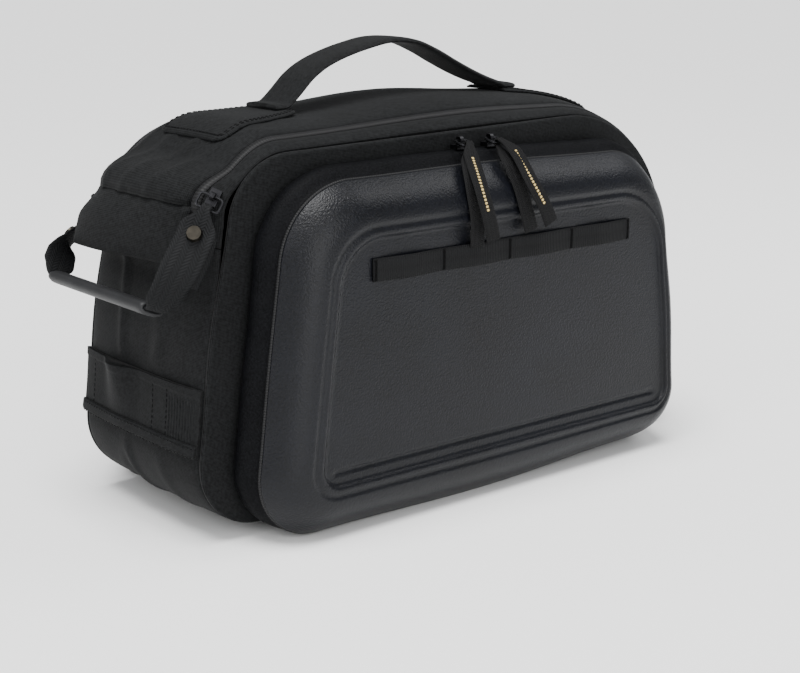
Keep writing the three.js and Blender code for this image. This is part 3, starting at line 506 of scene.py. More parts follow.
def lid_creases(start, length, whole, y):
    """Slack at the lid's rear slope, where the cloth folds towards the corners of the flap."""
    near_rear = 1 - blend_share(length, 45 * MM, 120 * MM)
    wander = soft_ripple(start, 30 * MM, 1.3, 4)
    fan = max(0, math.sin((y + 0.45 * length) / (4.2 * MM) + wander)) ** 2
    crossing = max(0, math.sin((0.7 * length - y) / (5.5 * MM) + 1 + wander)) ** 3
    slow = soft_ripple(start, 75 * MM, 1.6 * MM, 2)
    return near_rear * (0.9 * fan + 0.6 * crossing) * MM + slow


lid = wrap_piece("lid", FLAP_STEP + STEP_GAP, FRONT_STEP - STEP_GAP, -LID_HALF, LID_HALF,
                 raise_by=lid_creases, seams=(False, True, True, True))
fasten(lid, "lid_panel")


def flap_piece():
    """The free flap: it follows the lid at its seam and straightens to its lower edge."""
    foot = body_outline(step_where(body_outline, FLAP_BOTTOM, 1, 2, 1))[0]

    def place(share, y):
        top = on_wrap(FLAP_STEP + STEP_GAP / 2, y)
        low = Vector((foot.x - FLAP_STANDOFF, y, FLAP_BOTTOM))
        point = top.lerp(low, share)
        point.x -= FLAP_SWING * blend_share(share, 0, 0.5) * blend_share(y, -LID_HALF, LID_HALF)
        edge = min((1 - share) * FLAP_LENGTH, share * FLAP_LENGTH + 2 * MM, LID_HALF - abs(y))
        roll = 0.9 * MM * (1 - blend_share(edge, 0, 2.5 * MM))
        wave = 1.1 * MM * math.sin(y / (17 * MM) + 0.6) * share
        point = point + Vector((roll - wave - 1.2 * MM * math.sin(math.pi * share), 0, 0))
        return point, point + Vector((CLOTH - 0.7 * roll, 0, -0.4 * MM)), (share * FLAP_LENGTH, y)

    widths = spread(-LID_HALF, LID_HALF, 34)
    return sheet_piece("rear_flap_cloth", spread(0, 1, 12), widths, place, body_cloth)


flap = flap_piece()
fasten(flap, "rear_flap")

# Closed coil teeth under a satin face, ribbed across the zip's length
zip_coil = new_material("zip coil", ZIP_COLOUR, {"Roughness": 0.6, "Specular IOR Level": 0.25})
ribs = bands(zip_coil, "X", 1.6 * MM)
tint(zip_coil, ribs, ZIP_COLOUR, (0, 1), (0.4, 1.6))
emboss(zip_coil, ribs, 0.5, 0.4 * MM)
for side, sign in SIDES:
    zip_edge = LID_HALF + GAP
    zip_strip = wrap_piece(f"lid_coil_{side}", REAR_STEP + STEP_GAP, FRONT_STEP - STEP_GAP, sign * zip_edge,
                           sign * (zip_edge + ZIP_WIDTH), material=zip_coil, thickness=1.6 * MM,
                           lift=-0.3 * MM, pitch=2.2 * MM, ripple=0, seams=NONE_SEWN)
    fasten(zip_strip, f"lid_zip_{side}")
    gusset_edge = zip_edge + ZIP_WIDTH + GAP
    gusset = wrap_piece(f"gusset_{side}", REAR_STEP + STEP_GAP, FRONT_STEP - STEP_GAP, sign * gusset_edge,
                        sign * WRAP_EDGE, pitch=1.8 * MM, ripple=0.2 * MM)
    fasten(gusset, f"lid_gusset_{side}")


# The side pockets: a soft rolled band of smooth cloth round each pocket, a coil zip on its edge, and a
# moulded shell of cloth-faced foam whose middle is a sunk field with a ridge round it.
BAND_DEPTH = 19.5 * MM
BAND_BULGE = 7.5 * MM
BAND_TUCK = 0.1
BAND_CLOTH = 2 * MM
ZIP_DEPTH = 2.2 * MM
SHELL_DEPTH = 17 * MM
SHELL_WALL = 3.5 * MM
FIELD_SINK = 2.4 * MM
VALLEY_SINK = 0.9 * MM
GROOVE_SINK = 1.1 * MM
GROOVE_HEIGHT = 34 * MM
GROOVE_ENDS = (-138 * MM, 141 * MM)
BAND_COLOUR = (0.0024, 0.0025, 0.003)
SHELL_COLOUR = (0.0022, 0.0025, 0.0038)
POCKET_CORNERS = [
    {"x": -0.447, "z": -0.028, "radius": 39 * MM, "bow": 0.5 * MM},
    {"x": -0.377, "z": 0.915, "radius": 50 * MM, "bow": 1.7 * MM},
    {"x": 0.348, "z": 0.902, "radius": 46 * MM, "bow": 3.6 * MM},
    {"x": 0.415, "z": -0.004, "radius": 33 * MM, "bow": 3.6 * MM},
]
RIDGE_CORNERS = [
    {"x": -0.356, "z": 0.112, "radius": 13 * MM, "bow": 0},
    {"x": -0.311, "z": 0.771, "radius": 31 * MM, "bow": 0},
    {"x": 0.331, "z": 0.771, "radius": 45 * MM, "bow": 1 * MM},
    {"x": 0.368, "z": 0.112, "radius": 12 * MM, "bow": 0},
]
pocket_outline = round_outline(POCKET_CORNERS)
ridge_outline = round_outline(RIDGE_CORNERS)
BAND_INNER = HALF_WIDTH + GAP
BAND_OUTER = BAND_INNER + BAND_DEPTH
ZIP_INNER = BAND_OUTER + GAP
ZIP_OUTER = ZIP_INNER + ZIP_DEPTH
RIM = ZIP_OUTER + GAP
SHELL_FACE = RIM + SHELL_DEPTH
FIELD = SHELL_FACE - FIELD_SINK


def ring_piece(name, section, material):
    """A closed section swept once round a pocket: section gives (out, y, place across) at a step."""
    steps, lengths = ring_steps(pocket_outline, 3 * MM)
    points, uvs = [], []
    for step, length in zip(steps, lengths):
        point, normal = pocket_outline(step)
        for out, y, across in section(length, normal):
            points.append(Vector((point.x + normal.x * out, y, point.y + normal.y * out)))
            uvs.append((length, across))
    faces = ring_faces(len(steps), len(points) // len(steps), True)
    return make_piece(name, points, faces, material, uvs)


def band_section(sign):
    """The rolled band's round face, puckered a little where it is gathered into its seams."""
    shares = (0.0, 0.04, 0.1, 0.18, 0.28, 0.38, 0.5, 0.62, 0.72, 0.81, 0.88, 0.94, 1.0)
    bulges = (0.05, 0.38, 0.62, 0.83, 0.95, 1.0, 0.99, 0.9, 0.72, 0.46, 0.22, 0.05, 0.0)

    def section(length, normal):
        tuck = 1 - (1 - BAND_TUCK) * max(0, -normal.y)
        rows = []
        for share, bulge in zip(shares, bulges):
            y = sign * (BAND_INNER + share * BAND_DEPTH)
            place = Vector((length, share * 0.03, sign))
            pucker = 0.35 * MM * noise.noise(Vector((length / (11 * MM), share * 2, sign * 5)))
            swell = 0.7 * MM * noise.noise(place / (60 * MM)) - 0.3 * MM
            out = bulge * tuck * BAND_BULGE + (pucker + swell) * min(1, 3 * bulge)
            rows.append((out, y, share * BAND_DEPTH))
        return rows + [(min(out, 0) - BAND_CLOTH, y, across) for out, y, across in reversed(rows)]

    return section


def smooth_cloth(name, colour, roughness, gloss):
    """A fine stretch cloth with a soft sheen and small uneven shading."""
    material = new_material(name, colour, {"Roughness": roughness, "Specular IOR Level": gloss})
    grain = speckle(material, 850)
    mixed = maths(material, "MULTIPLY_ADD", speckle(material, 22, 5), 0.6, grain)
    tint(material, mixed, colour, (0.55, 0.98), (0.45, 1.7))
    emboss(material, grain, 0.9, 0.4 * MM)
    return material


band_cloth = smooth_cloth("band cloth", BAND_COLOUR, 0.6, 0.05)
shell_cloth = smooth_cloth("shell cloth", SHELL_COLOUR, 0.34, 0.2)


def dent(distance, half):
    return (1 - min(1, abs(distance) / half) ** 2) ** 2


def shell_depth(share):
    """How far the shell's face stands past its rim, at a share of the way from the rim to the ridge."""
    depth = SHELL_DEPTH * (1 - (1 - min(1, share / 0.8)) ** 2.3)
    depth -= VALLEY_SINK * dent(share - 0.83, 0.09)
    return depth - FIELD_SINK * blend_share(share, 0.96, 1.08)


def groove_sink(place):
    """The groove along the foot of the field, turned down at its front end."""
    inside = blend_share(place.x, GROOVE_ENDS[0], GROOVE_ENDS[0] + 4 * MM)
    inside *= 1 - blend_share(place.x, GROOVE_ENDS[1] - 4 * MM, GROOVE_ENDS[1])
    return GROOVE_SINK * dent(place.z - GROOVE_HEIGHT, 2.6 * MM) * inside


def shell_piece(name, sign):
    """The moulded shell: its rim, round shoulder, ridge and sunk field, with a plain hollow behind."""
    insets = [0, 0.013, 0.04] + [0.077 * i for i in range(1, 9)] + [0.68 + 0.025 * i for i in range(17)]
    section = [(share, shell_depth(share)) for share in insets]
    section.append((1.1, FIELD - SHELL_WALL - RIM))
    section += [(0.55, 0.62 * SHELL_DEPTH), (0.2, 0.3 * SHELL_DEPTH), (0.14, 0)]
    steps = ring_steps(pocket_outline, 4 * MM)[0]
    points, uvs = [], []
    for step in steps:
        rim, ridge = pocket_outline(step)[0], ridge_outline(step)[0]
        for share, depth in section:
            x, z = rim.lerp(ridge, share)
            points.append(Vector((x, sign * (RIM + depth), z)))
            uvs.append((x, z))
    size, count, last = len(section), len(steps), len(insets) - 1
    faces = [face for face in ring_faces(count, size, True) if face[0] % size != last]
    centre = Vector((0, 0, 0.44 * BODY_HEIGHT))
    for ring, depth in ((last, FIELD), (last + 1, FIELD - SHELL_WALL)):
        previous = [i * size + ring for i in range(count)]
        for shrink in [1 - 0.012 * k for k in range(1, 16)] + [0.6, 0.4, 0.2]:
            start = len(points)
            for i in range(count):
                edge = points[i * size + ring]
                place = centre.lerp(Vector((edge.x, 0, edge.z)), shrink)
                sink = groove_sink(place) if depth == FIELD else 0
                points.append(Vector((place.x, sign * (depth - sink), place.z)))
                uvs.append((place.x, place.z))
            current = list(range(start, start + count))
            for i in range(count):
                nxt = (i + 1) % count
                faces.append((previous[i], previous[nxt], current[nxt], current[i]))
            previous = current
        points.append(Vector((centre.x, sign * depth, centre.z)))
        uvs.append((centre.x, centre.z))
        for i in range(count):
            faces.append((previous[i], previous[(i + 1) % count], len(points) - 1))
    return make_piece(name, points, faces, shell_cloth, uvs)


def pocket_zip_section(sign):
    """The zip's tape with a raised row of coil in the middle of its edge."""
    across = ((0.15, 0), (0.55, 0.2), (0.75, 0.5), (0.55, 0.8), (0.15, 1), (-2, 1), (-2, 0))
    rows = [(out * MM, sign * (ZIP_INNER + share * ZIP_DEPTH), share * ZIP_DEPTH) for out, share in across]
    return lambda length, normal: rows


for side, sign in SIDES:
    band = ring_piece(f"band_{side}", band_section(sign), band_cloth)
    fasten(band, f"pocket_band_{side}")
    coil = ring_piece(f"pocket_coil_{side}", pocket_zip_section(sign), zip_coil)
    fasten(coil, f"pocket_zip_{side}")
    shell = shell_piece(f"shell_{side}", sign)
    fasten(shell, f"pocket_shell_{side}")


# The daisy chain on each shell: one strip of ribbed webbing with folded ends, held by five dense
# bartacks so that it stands off the shell in four shallow loops.
CHAIN_LENGTH = 215 * MM
CHAIN_HEIGHT = 14 * MM
CHAIN_TOP = 159 * MM
CHAIN_LOOPS = 4
CHAIN_BOW = 2.2 * MM
CHAIN_CLOTH = 1.5 * MM
WEBBING_COLOUR = (0.0022, 0.0023, 0.0026)
THREAD_COLOUR = (0.0014, 0.0014, 0.0016)


def webbing_weave(name, colour, rib, column, slant):
    """Webbing whose ribs cross its width, straight or slanted from column to column as in herringbone."""
    material = new_material(name, colour, {"Roughness": 0.72, "Specular IOR Level": 0.15})
    lengths = add_node(material, "UVMap", {})
    lengths.uv_map = "cloth"
    apart = add_node(material, "SeparateXYZ", {"Vector": lengths.outputs["UV"]})
    folded = maths(material, "PINGPONG", apart.outputs["Y"], column)
    place = maths(material, "MULTIPLY_ADD", folded, slant, apart.outputs["X"])
    turn = maths(material, "MULTIPLY", place, 2 * math.pi / rib)
    wave = maths(material, "MULTIPLY_ADD", maths(material, "SINE", turn), 0.5, 0.5)
    edge = maths(material, "SINE", maths(material, "MULTIPLY", folded, math.pi / column))
    height = maths(material, "MULTIPLY_ADD", edge, 0.6, wave)
    tint(material, maths(material, "MULTIPLY", height, 0.62), colour, (0, 1), (0.55, 1.8))
    emboss(material, height, 0.6, 0.4 * MM)
    return material


def curve_through(places, pitch):
    """Points about a pitch apart on a smooth curve through places, as (segment, share, point)."""
    found = []
    for k in range(len(places) - 1):
        before, start = places[max(0, k - 1)], places[k]
        end, after = places[k + 1], places[min(len(places) - 1, k + 2)]
        gap = (end - start).length
        lead = (end - before) * (gap / max(gap, (end - before).length))
        follow = (after - start) * (gap / max(gap, (after - start).length))
        count = max(1, round(gap / pitch))
        for i in range(count):
            t = i / count
            a, b = 2 * t ** 3 - 3 * t * t + 1, t ** 3 - 2 * t * t + t
            c, d = 3 * t * t - 2 * t ** 3, t ** 3 - t * t
            found.append((k, t, start * a + lead * b + end * c + follow * d))
    found.append((len(places) - 2, 1, places[-1]))
    return found


def strap_piece(name, stations, thickness, material, pitch=1.5 * MM, crown=0):
    """A strap with round edges through stations of (centre, direction of the width, width)."""
    line = curve_through([station[0] for station in stations], pitch)
    across = [-1, -0.96, -0.86, -0.6, -0.3, 0, 0.3, 0.6, 0.86, 0.96, 1]
    points, uvs = [], []
    length = 0
    for i, (k, t, centre) in enumerate(line):
        along = (line[min(i + 1, len(line) - 1)][2] - line[max(i - 1, 0)][2]).normalized()
        wide = stations[k][1].lerp(stations[k + 1][1], t)
        side = (wide - along * wide.dot(along)).normalized()
        face = along.cross(side)
        half = (stations[k][2] + (stations[k + 1][2] - stations[k][2]) * blend_share(t, 0, 1)) / 2
        length += (centre - line[max(i - 1, 0)][2]).length
        for level in (1, -1):
            for u in across if level > 0 else reversed(across):
                height = level * thickness / 2 * (1 - abs(u) ** 9) ** 0.5
                height += (crown * (1 - u * u) if level > 0 else 0)
                points.append(centre + side * (u * half) + face * height)
                uvs.append((length, u * half))
    size = 2 * len(across)
    faces = ring_faces(len(line), size, False)
    faces.append(tuple(range(size)))
    faces.append(tuple(range(len(points) - size, len(points))))
    return make_piece(name, points, faces, material, uvs)


def thread_material(name, colour):
    material = new_material(name, colour, {"Roughness": 0.6, "Specular IOR Level": 0.1})
    strands = speckle(material, 2600)
    tint(material, strands, colour, (0, 1), (0.7, 1.3))
    emboss(material, strands, 0.4, 0.1 * MM)
    return material


def sewn(name, stitches, material, width=0.7 * MM, rise=0.35 * MM):
    """Stitches as small raised lozenges, each given as (start, end, way out)."""
    points, faces = [], []
    for start, end, away in stitches:
        along = (end - start).normalized()
        side = along.cross(away).normalized()
        middle = (start + end) / 2
        first = len(points)
        third = (end - start) / 3
        sink = away * 0.25 * MM
        points += [start - sink, end - sink]
        for foot in (start + third * 0.6, end - third * 0.6):
            points += [foot + side * width / 2, foot + away * rise, foot - side * width / 2]
        points.append(middle - sink)
        for a, b, c in ((2, 3, 0), (3, 4, 0), (5, 1, 6), (6, 1, 7)):
            faces.append((first + a, first + b, first + c))
        faces.append((first + 2, first + 5, first + 6, first + 3))
        faces.append((first + 3, first + 6, first + 7, first + 4))
        faces.append((first + 2, first + 0, first + 8, first + 1, first + 5))
        faces.append((first + 4, first + 7, first + 1, first + 8, first + 0))
    piece = make_piece(name, points, faces, material)
    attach(piece, "root")


def running_stitch(line, stitch=2.4 * MM, gap=0.7 * MM):
    """Stitches along a line of (point, way out)."""
    found = []
    start, travelled, drawing = line[0], 0, True
    for a, b in zip(line, line[1:]):
        travelled += (b[0] - a[0]).length
        if travelled >= (stitch if drawing else gap):
            if drawing:
                found.append((start[0], b[0], b[1]))
            start, travelled, drawing = b, 0, not drawing
    return found


chain_webbing = webbing_weave("chain webbing", WEBBING_COLOUR, 1.5 * MM, 7 * MM, 0)
black_thread = thread_material("black thread", THREAD_COLOUR)
for side, sign in SIDES:
    stations = []
    for x in spread(-CHAIN_LENGTH / 2, CHAIN_LENGTH / 2, CHAIN_LOOPS * 10):
        share = (x + CHAIN_LENGTH / 2) / CHAIN_LENGTH * CHAIN_LOOPS
        bow = CHAIN_BOW * math.sin(math.pi * (share % 1)) ** 2
        y = sign * (FIELD + GAP + bow + CHAIN_CLOTH / 2)
        stations.append((Vector((x, y, CHAIN_TOP - CHAIN_HEIGHT / 2)), Vector((0, 0, -sign)), CHAIN_HEIGHT))
    chain = strap_piece(f"daisy_chain_{side}", stations, CHAIN_CLOTH, chain_webbing)
    fasten(chain, f"pocket_webbing_{side}")
    face = sign * (FIELD + GAP + CHAIN_CLOTH + 0.05 * MM)
    stitches = []
    for k in range(CHAIN_LOOPS + 1):
        middle = -CHAIN_LENGTH / 2 + CHAIN_LENGTH * k / CHAIN_LOOPS
        middle += (1.6 * MM if k == 0 else -1.6 * MM if k == CHAIN_LOOPS else 0)
        for i in range(17):
            z = CHAIN_TOP - 0.9 * MM - i * (CHAIN_HEIGHT - 1.8 * MM) / 16
            ends = [Vector((middle + aside * MM, face, z)) for aside in (-1.3, 1.3)]
            stitches.append((*ends, Vector((0, sign, 0))))
    sewn(f"bartacks_{side}", stitches, black_thread, 0.8 * MM, 0.45 * MM)


# The pulls of the side pockets: dark metal sliders with wire bails, and on each a folded strip of
# webbing in two leaves, with a light thread sewn down the middle of the front leaf.
EYE_HEIGHT = 4.9 * MM
SLIDER_SEAT = 0.5 * MM
BAIL_REACH = 8.4 * MM
WIRE = 0.8 * MM
PULL_LAYER = 1.6 * MM
PULL_WIDTH = 11 * MM
PULL_NECK = 4.6 * MM
PULL_LENGTH = 44 * MM
FOLD_GAP = 0.6 * MM
BAND_CREST = 0.45
METAL_COLOUR = (0.022, 0.022, 0.024)
SNAP_COLOUR = (0.03, 0.027, 0.022)
PULL_COLOUR = (0.0016, 0.0016, 0.0018)
GOLD_THREAD = (0.5, 0.38, 0.17)
# Each leaf's places: aside along the bag and off from the shell's face in mm, and the share of its drop
PULLS = [
    {"x": -16 * MM,
     "front": [(-6.8, -11.6, 0.14), (-12.5, 3.4, 0.5), (-10.6, 9.4, 0.93), (-8.6, 11, 1.22)],
     "back": [(-11, -9, 0.24), (-15.5, -0.9, 0.5), (-14, 2.4, 0.97), (-14.8, 3.2, 1.32)]},
    {"x": 9 * MM,
     "front": [(1.8, -9.6, 0.09), (2, 5.4, 0.47), (9, 11.4, 0.86), (13.1, 12.4, 1.08)],
     "back": [(-4.5, -8.4, 0.22), (-2.5, -0.4, 0.54), (2, 2.5, 0.94), (5.2, 3.2, 1.2)]},
]


def dark_metal(name, colour):
    """Cast and plated metal with a satin skin, rubbed a little unevenly."""
    material = new_material(name, colour, {"Metallic": 1, "Roughness": 0.34})
    rubbed = speckle(material, 320, 4)
    tint(material, rubbed, colour, (0, 1), (0.75, 1.5))
    uneven = add_node(material, "MapRange", {"Value": rubbed, "To Min": 0.24, "To Max": 0.48})
    wire_surface(material, {"Roughness": uneven.outputs["Result"]})
    return material


def dress(node, material):
    """Give a node that stays as it is in the CAD a better material."""
    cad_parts[node].data.materials.clear()
    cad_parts[node].data.materials.append(material)


def fold_round(bar, towards, face, thickness):
    """The fold of a strap round a bail's bar, from its back leaf to its front one."""
    radius = WIRE + FOLD_GAP + thickness / 2
    turns = [math.pi * (i / 4 - 0.5) for i in range(5)]
    return [bar + towards * (radius * math.cos(turn)) + face * (radius * math.sin(turn)) for turn in turns]


def leaf_places(pull, leaf, sign, bar):
    """The places of one leaf of a pull, which hangs from the bar of its bail."""
    return [Vector((pull["x"] + aside * MM, sign * (SHELL_FACE + off * MM), bar.z - drop * PULL_LENGTH))
            for aside, off, drop in pull[leaf]]


slider_metal = dark_metal("slider metal", METAL_COLOUR)
snap_metal = dark_metal("snap metal", SNAP_COLOUR)
pull_webbing = webbing_weave("pull webbing", PULL_COLOUR, 1.2 * MM, 1.7 * MM, 0.6)
gold_thread = thread_material("gold thread", GOLD_THREAD)
for side, sign in SIDES:
    for k, pull in enumerate(PULLS, 1):
        dress(f"pocket_slider_{side}_{k}", slider_metal)
        dress(f"pocket_bail_{side}_{k}", slider_metal)
        crest = pocket_outline(step_where(pocket_outline, pull["x"], 2.5, 4.5, 0))[0].y + BAND_BULGE
        across = sign * (BAND_INNER + BAND_CREST * BAND_DEPTH)
        eye = Vector((pull["x"], across, crest + SLIDER_SEAT + EYE_HEIGHT))
        reach = Vector((0, sign * 0.97, -0.24)).normalized()
        bar = eye + reach * BAIL_REACH
        towards = -reach
        face = Vector((0, sign * towards.z, -sign * towards.y))
        back, front = [leaf_places(pull, leaf, sign, bar) for leaf in ("back", "front")]
        stations = []
        for centre in back[::-1] + fold_round(bar, towards, face, PULL_LAYER) + front:
            opened = blend_share((centre - bar).length, 2.5 * MM, 7.5 * MM)
            stations.append((centre, Vector((1, 0, 0)), PULL_NECK + (PULL_WIDTH - PULL_NECK) * opened))
        strap = strap_piece(f"pull_{side}_{k}", stations, PULL_LAYER, pull_webbing, 1.2 * MM)
        fasten(strap, f"pocket_pull_{side}_{k}")
        line = [point for _, _, point in curve_through(front, 0.35 * MM)]
        rows = []
        for a, b in zip(line, line[1:]):
            out = (b - a).cross(Vector((1, 0, 0))).normalized()
            out = out if out.y * sign > 0 else -out
            if 13 * MM < (a - bar).length < PULL_LENGTH + 6 * MM:
                rows.append((a + out * (PULL_LAYER / 2 + 0.05 * MM), out))
        stitches = running_stitch(rows, 1.6 * MM, 0.1 * MM)
        sewn(f"pull_thread_{side}_{k}", stitches, gold_thread, 2.1 * MM, 0.45 * MM)


# The rear loop: a lid slider on each zip carries a strap of herringbone webbing down past a snap to a
# rubber grip, and a second layer of the webbing lies inside each arm.
LOOP_LAYER = 2 * MM
LOOP_WIDTH = 22 * MM
LOOP_FOLDED = 12 * MM
LOOP_NECK = 6 * MM
LOOP_HEIGHTS = {"near": 193 * MM, "far": 180 * MM}
LOOP_ASIDE = 7 * MM
LOOP_DROP = 55 * MM
LOOP_REACH = 31 * MM
LOOP_SPREAD = 9 * MM
LOOP_TILT = 0.1
SLEEVE_LENGTH = 112 * MM
SLEEVE_WALL = 2 * MM
SLEEVE_THICKNESS = 8 * MM
LOOP_COLOUR = (0.0034, 0.0036, 0.004)
RUBBER_COLOUR = (0.009, 0.0093, 0.0102)
# Shares of the way to the grip to the rear, to the side and down, the direction of the width, and how
# far the webbing is folded narrow
ACROSS_GRIP = (-0.93, 0, 0.375)
GRIP_END = [(1, -0.82, 0.99, ACROSS_GRIP, 1), (1, -1.1, 1, ACROSS_GRIP, 1)]
ARMS = {
    "near": [(0.2, 0, 0.2, (-0.6, 0.72, 0.28), 0), (0.33, 0.1, 0.31, (-0.6, 0.72, 0.28), 0),
             (0.57, 0.12, 0.53, (-0.8, 0.5, 0.31), 0), (0.8, 0, 0.74, (-0.93, 0.1, 0.375), 0),
             (0.93, -0.2, 0.88, ACROSS_GRIP, 0), (0.98, -0.5, 0.96, ACROSS_GRIP, 0.6)],
    "far": [(0.21, 0, 0.28, (-0.45, 0.86, 0.17), 0), (0.33, 0.1, 0.33, (-0.68, 0.65, 0.3), 0),
            (0.6, 0.1, 0.47, (-0.68, 0.65, 0.3), 0), (0.74, 0, 0.64, (-0.93, 0.1, 0.375), 0),
            (0.85, -0.2, 0.8, ACROSS_GRIP, 0), (0.95, -0.5, 0.91, ACROSS_GRIP, 0.6)],
}
TAILS = {
    "near": [(0.15, -0.35, 0.32, (-0.6, 0.7, 0.3), 0), (0.3, -0.3, 0.5, (-0.85, 0.4, 0.35), 0),
             (0.52, -0.3, 0.75, (-0.93, 0.1, 0.375), 0)],
    "far": [(0.15, -0.35, 0.32, (-0.6, 0.7, 0.3), 0), (0.24, -0.35, 0.44, (-0.7, 0.6, 0.32), 0)],
}


loop_webbing = webbing_weave("herringbone webbing", LOOP_COLOUR, 2.2 * MM, 3.7 * MM, 1.0)
grip_place = None
halves = []
for side, sign in SIDES:
    dress(f"lid_slider_{side}", slider_metal)
    dress(f"lid_bail_{side}", slider_metal)
    dress(f"snap_cap_{side}", snap_metal)
    step = step_where(body_outline, LOOP_HEIGHTS[side], 1.5, 3, 1)
    aside = sign * (LID_HALF + GAP + ZIP_WIDTH / 2 + LOOP_ASIDE)
    away = off_wrap(step, aside)
    along = (on_wrap(step + 0.01, aside) - on_wrap(step - 0.01, aside)).normalized()
    eye = on_wrap(step, aside) + away * (SLIDER_SEAT + EYE_HEIGHT)
    wide = away.cross(along) * -sign
    down = -along + away * LOOP_TILT
    down = (down - wide * down.dot(wide)).normalized()
    bar = eye + down * BAIL_REACH
    face = wide.cross(-down)
    face = face if face.dot(away) > 0 else -face
    grip_place = grip_place or (bar.x - LOOP_REACH, bar.z - LOOP_DROP)
    layers = []
    for rows in (TAILS[side][::-1], ARMS[side] + GRIP_END):
        layer = []
        for reach, out, drop, across, folded in rows:
            centre = Vector((bar.x + (grip_place[0] - bar.x) * reach, bar.y + sign * out * LOOP_SPREAD,
                             bar.z + (grip_place[1] - bar.z) * drop))
            turned = Vector((across[0], -sign * across[1], across[2])).normalized()
            layer.append((centre, turned, LOOP_WIDTH + (LOOP_FOLDED - LOOP_WIDTH) * folded))
        layers.append(layer)
    fold = [(centre, wide, LOOP_NECK) for centre in fold_round(bar, -down, face, LOOP_LAYER)]
    halves.append(layers[0] + fold + layers[1])
bottom = halves[0][-1]
loop = strap_piece("rear_loop", halves[0] + halves[1][::-1], LOOP_LAYER, loop_webbing, 1.8 * MM)
fasten(loop, "rear_loop_webbing")


def grip_piece():
    """The rubber grip: a flat round-edged tube with lipped ends."""
    wide = bottom[1]
    thick = Vector((0, 1, 0)).cross(wide)
    middle = Vector((bottom[0].x, 0, bottom[0].z))
    rows = []
    for share in spread(-1, 1, 40):
        lip = 0.25 * MM * blend_share(abs(share), 0.955, 0.975) * (1 - blend_share(abs(share), 0.985, 1))
        draw = -0.7 * MM * blend_share(abs(share), 0.98, 1)
        rows.append((share * SLEEVE_LENGTH / 2, lip + draw))
    points, uvs = [], []
    size = 48
    for level in (1, -1):
        for y, grow in rows if level > 0 else rows[::-1]:
            for j in range(size):
                angle = 2 * math.pi * j / size
                c, s = math.cos(angle), math.sin(angle)
                round_wide = abs(c) ** 0.75 * (1 if c > 0 else -1)
                round_thick = abs(s) ** 0.85 * (1 if s > 0 else -1)
                half_wide = LOOP_FOLDED / 2 + (SLEEVE_WALL + grow if level > 0 else GAP)
                half_thick = SLEEVE_THICKNESS / 2 + grow if level > 0 else LOOP_LAYER / 2 + GAP
                place = middle + wide * (half_wide * round_wide) + thick * (half_thick * round_thick)
                points.append(place + Vector((0, y, 0)))
                uvs.append((y, angle * 0.01))
    return make_piece("loop_grip", points, ring_faces(len(points) // size, size, True), grip_rubber, uvs)


# Moulded soft rubber with a fine matt grain and paler scuffs
grip_rubber = new_material("grip rubber", RUBBER_COLOUR, {"Roughness": 0.55, "Specular IOR Level": 0.3})
tint(grip_rubber, speckle(grip_rubber, 60, 6), RUBBER_COLOUR, (0.4, 0.75), (0.85, 1.4))
emboss(grip_rubber, speckle(grip_rubber, 1500), 0.25, 0.2 * MM)
grip = grip_piece()
fasten(grip, "rear_loop_sleeve")


# The light loops: a band of cloth across the rear panel for clip-on lamps. Its top edge is free and
# gapes at one loop, stitching divides the loops, and a folded hem covers its foot.
LIGHT_TOP = 87 * MM
LIGHT_FOOT = 45 * MM
LIGHT_LAYER = 1.4 * MM
LIGHT_LIFT = 0.8 * MM
LIGHT_GAPE = 8 * MM
HEM_HEIGHT = 9 * MM
HEM_LIFT = LIGHT_LIFT + 2 * LIGHT_LAYER + GAP
HEM_SEAM = 1.8 * MM
LIGHT_STEPS = [step_where(body_outline, z, 1, 2, 1) for z in (LIGHT_FOOT, LIGHT_FOOT + HEM_HEIGHT, LIGHT_TOP)]
DIVIDERS = (-21 * MM, -36 * MM, 52 * MM)
RIBBED = (-62 * MM, -38 * MM)


def light_gape(start, y):
    along = max(0, min(1, (y / WRAP_EDGE + 0.1) / 0.7))
    share = max(0, min(1, (start.z - LIGHT_FOOT) / (LIGHT_TOP - LIGHT_FOOT)))
    return LIGHT_GAPE * math.sin(math.pi * along) ** 2 * share ** 1.2


def light_raise(start, length, whole, y):
    turned = 0.5 * MM * (1 - blend_share(whole - length, 4.5 * MM, 5.5 * MM))
    ribs = 0.35 * MM * math.sin(2 * math.pi * y / (2.6 * MM)) if RIBBED[0] < y < RIBBED[1] else 0
    return light_gape(start, y) + turned + ribs * (1 - blend_share(length, 30 * MM, 34 * MM))


def hem_raise(start, length, whole, y):
    edge = min(length, whole - length)
    return light_gape(start, y) - 0.5 * MM * (1 - blend_share(edge, 0, 1.5 * MM))


def light_stitches(spots, lift, rise):
    """A row of thread on the light loops through (step, y) spots."""
    line = []
    for step, y in spots:
        start = on_wrap(step, y, lift)
        out = off_wrap(step, y)
        line.append((start + out * (light_gape(start, y) + rise), out))
    return running_stitch(line)


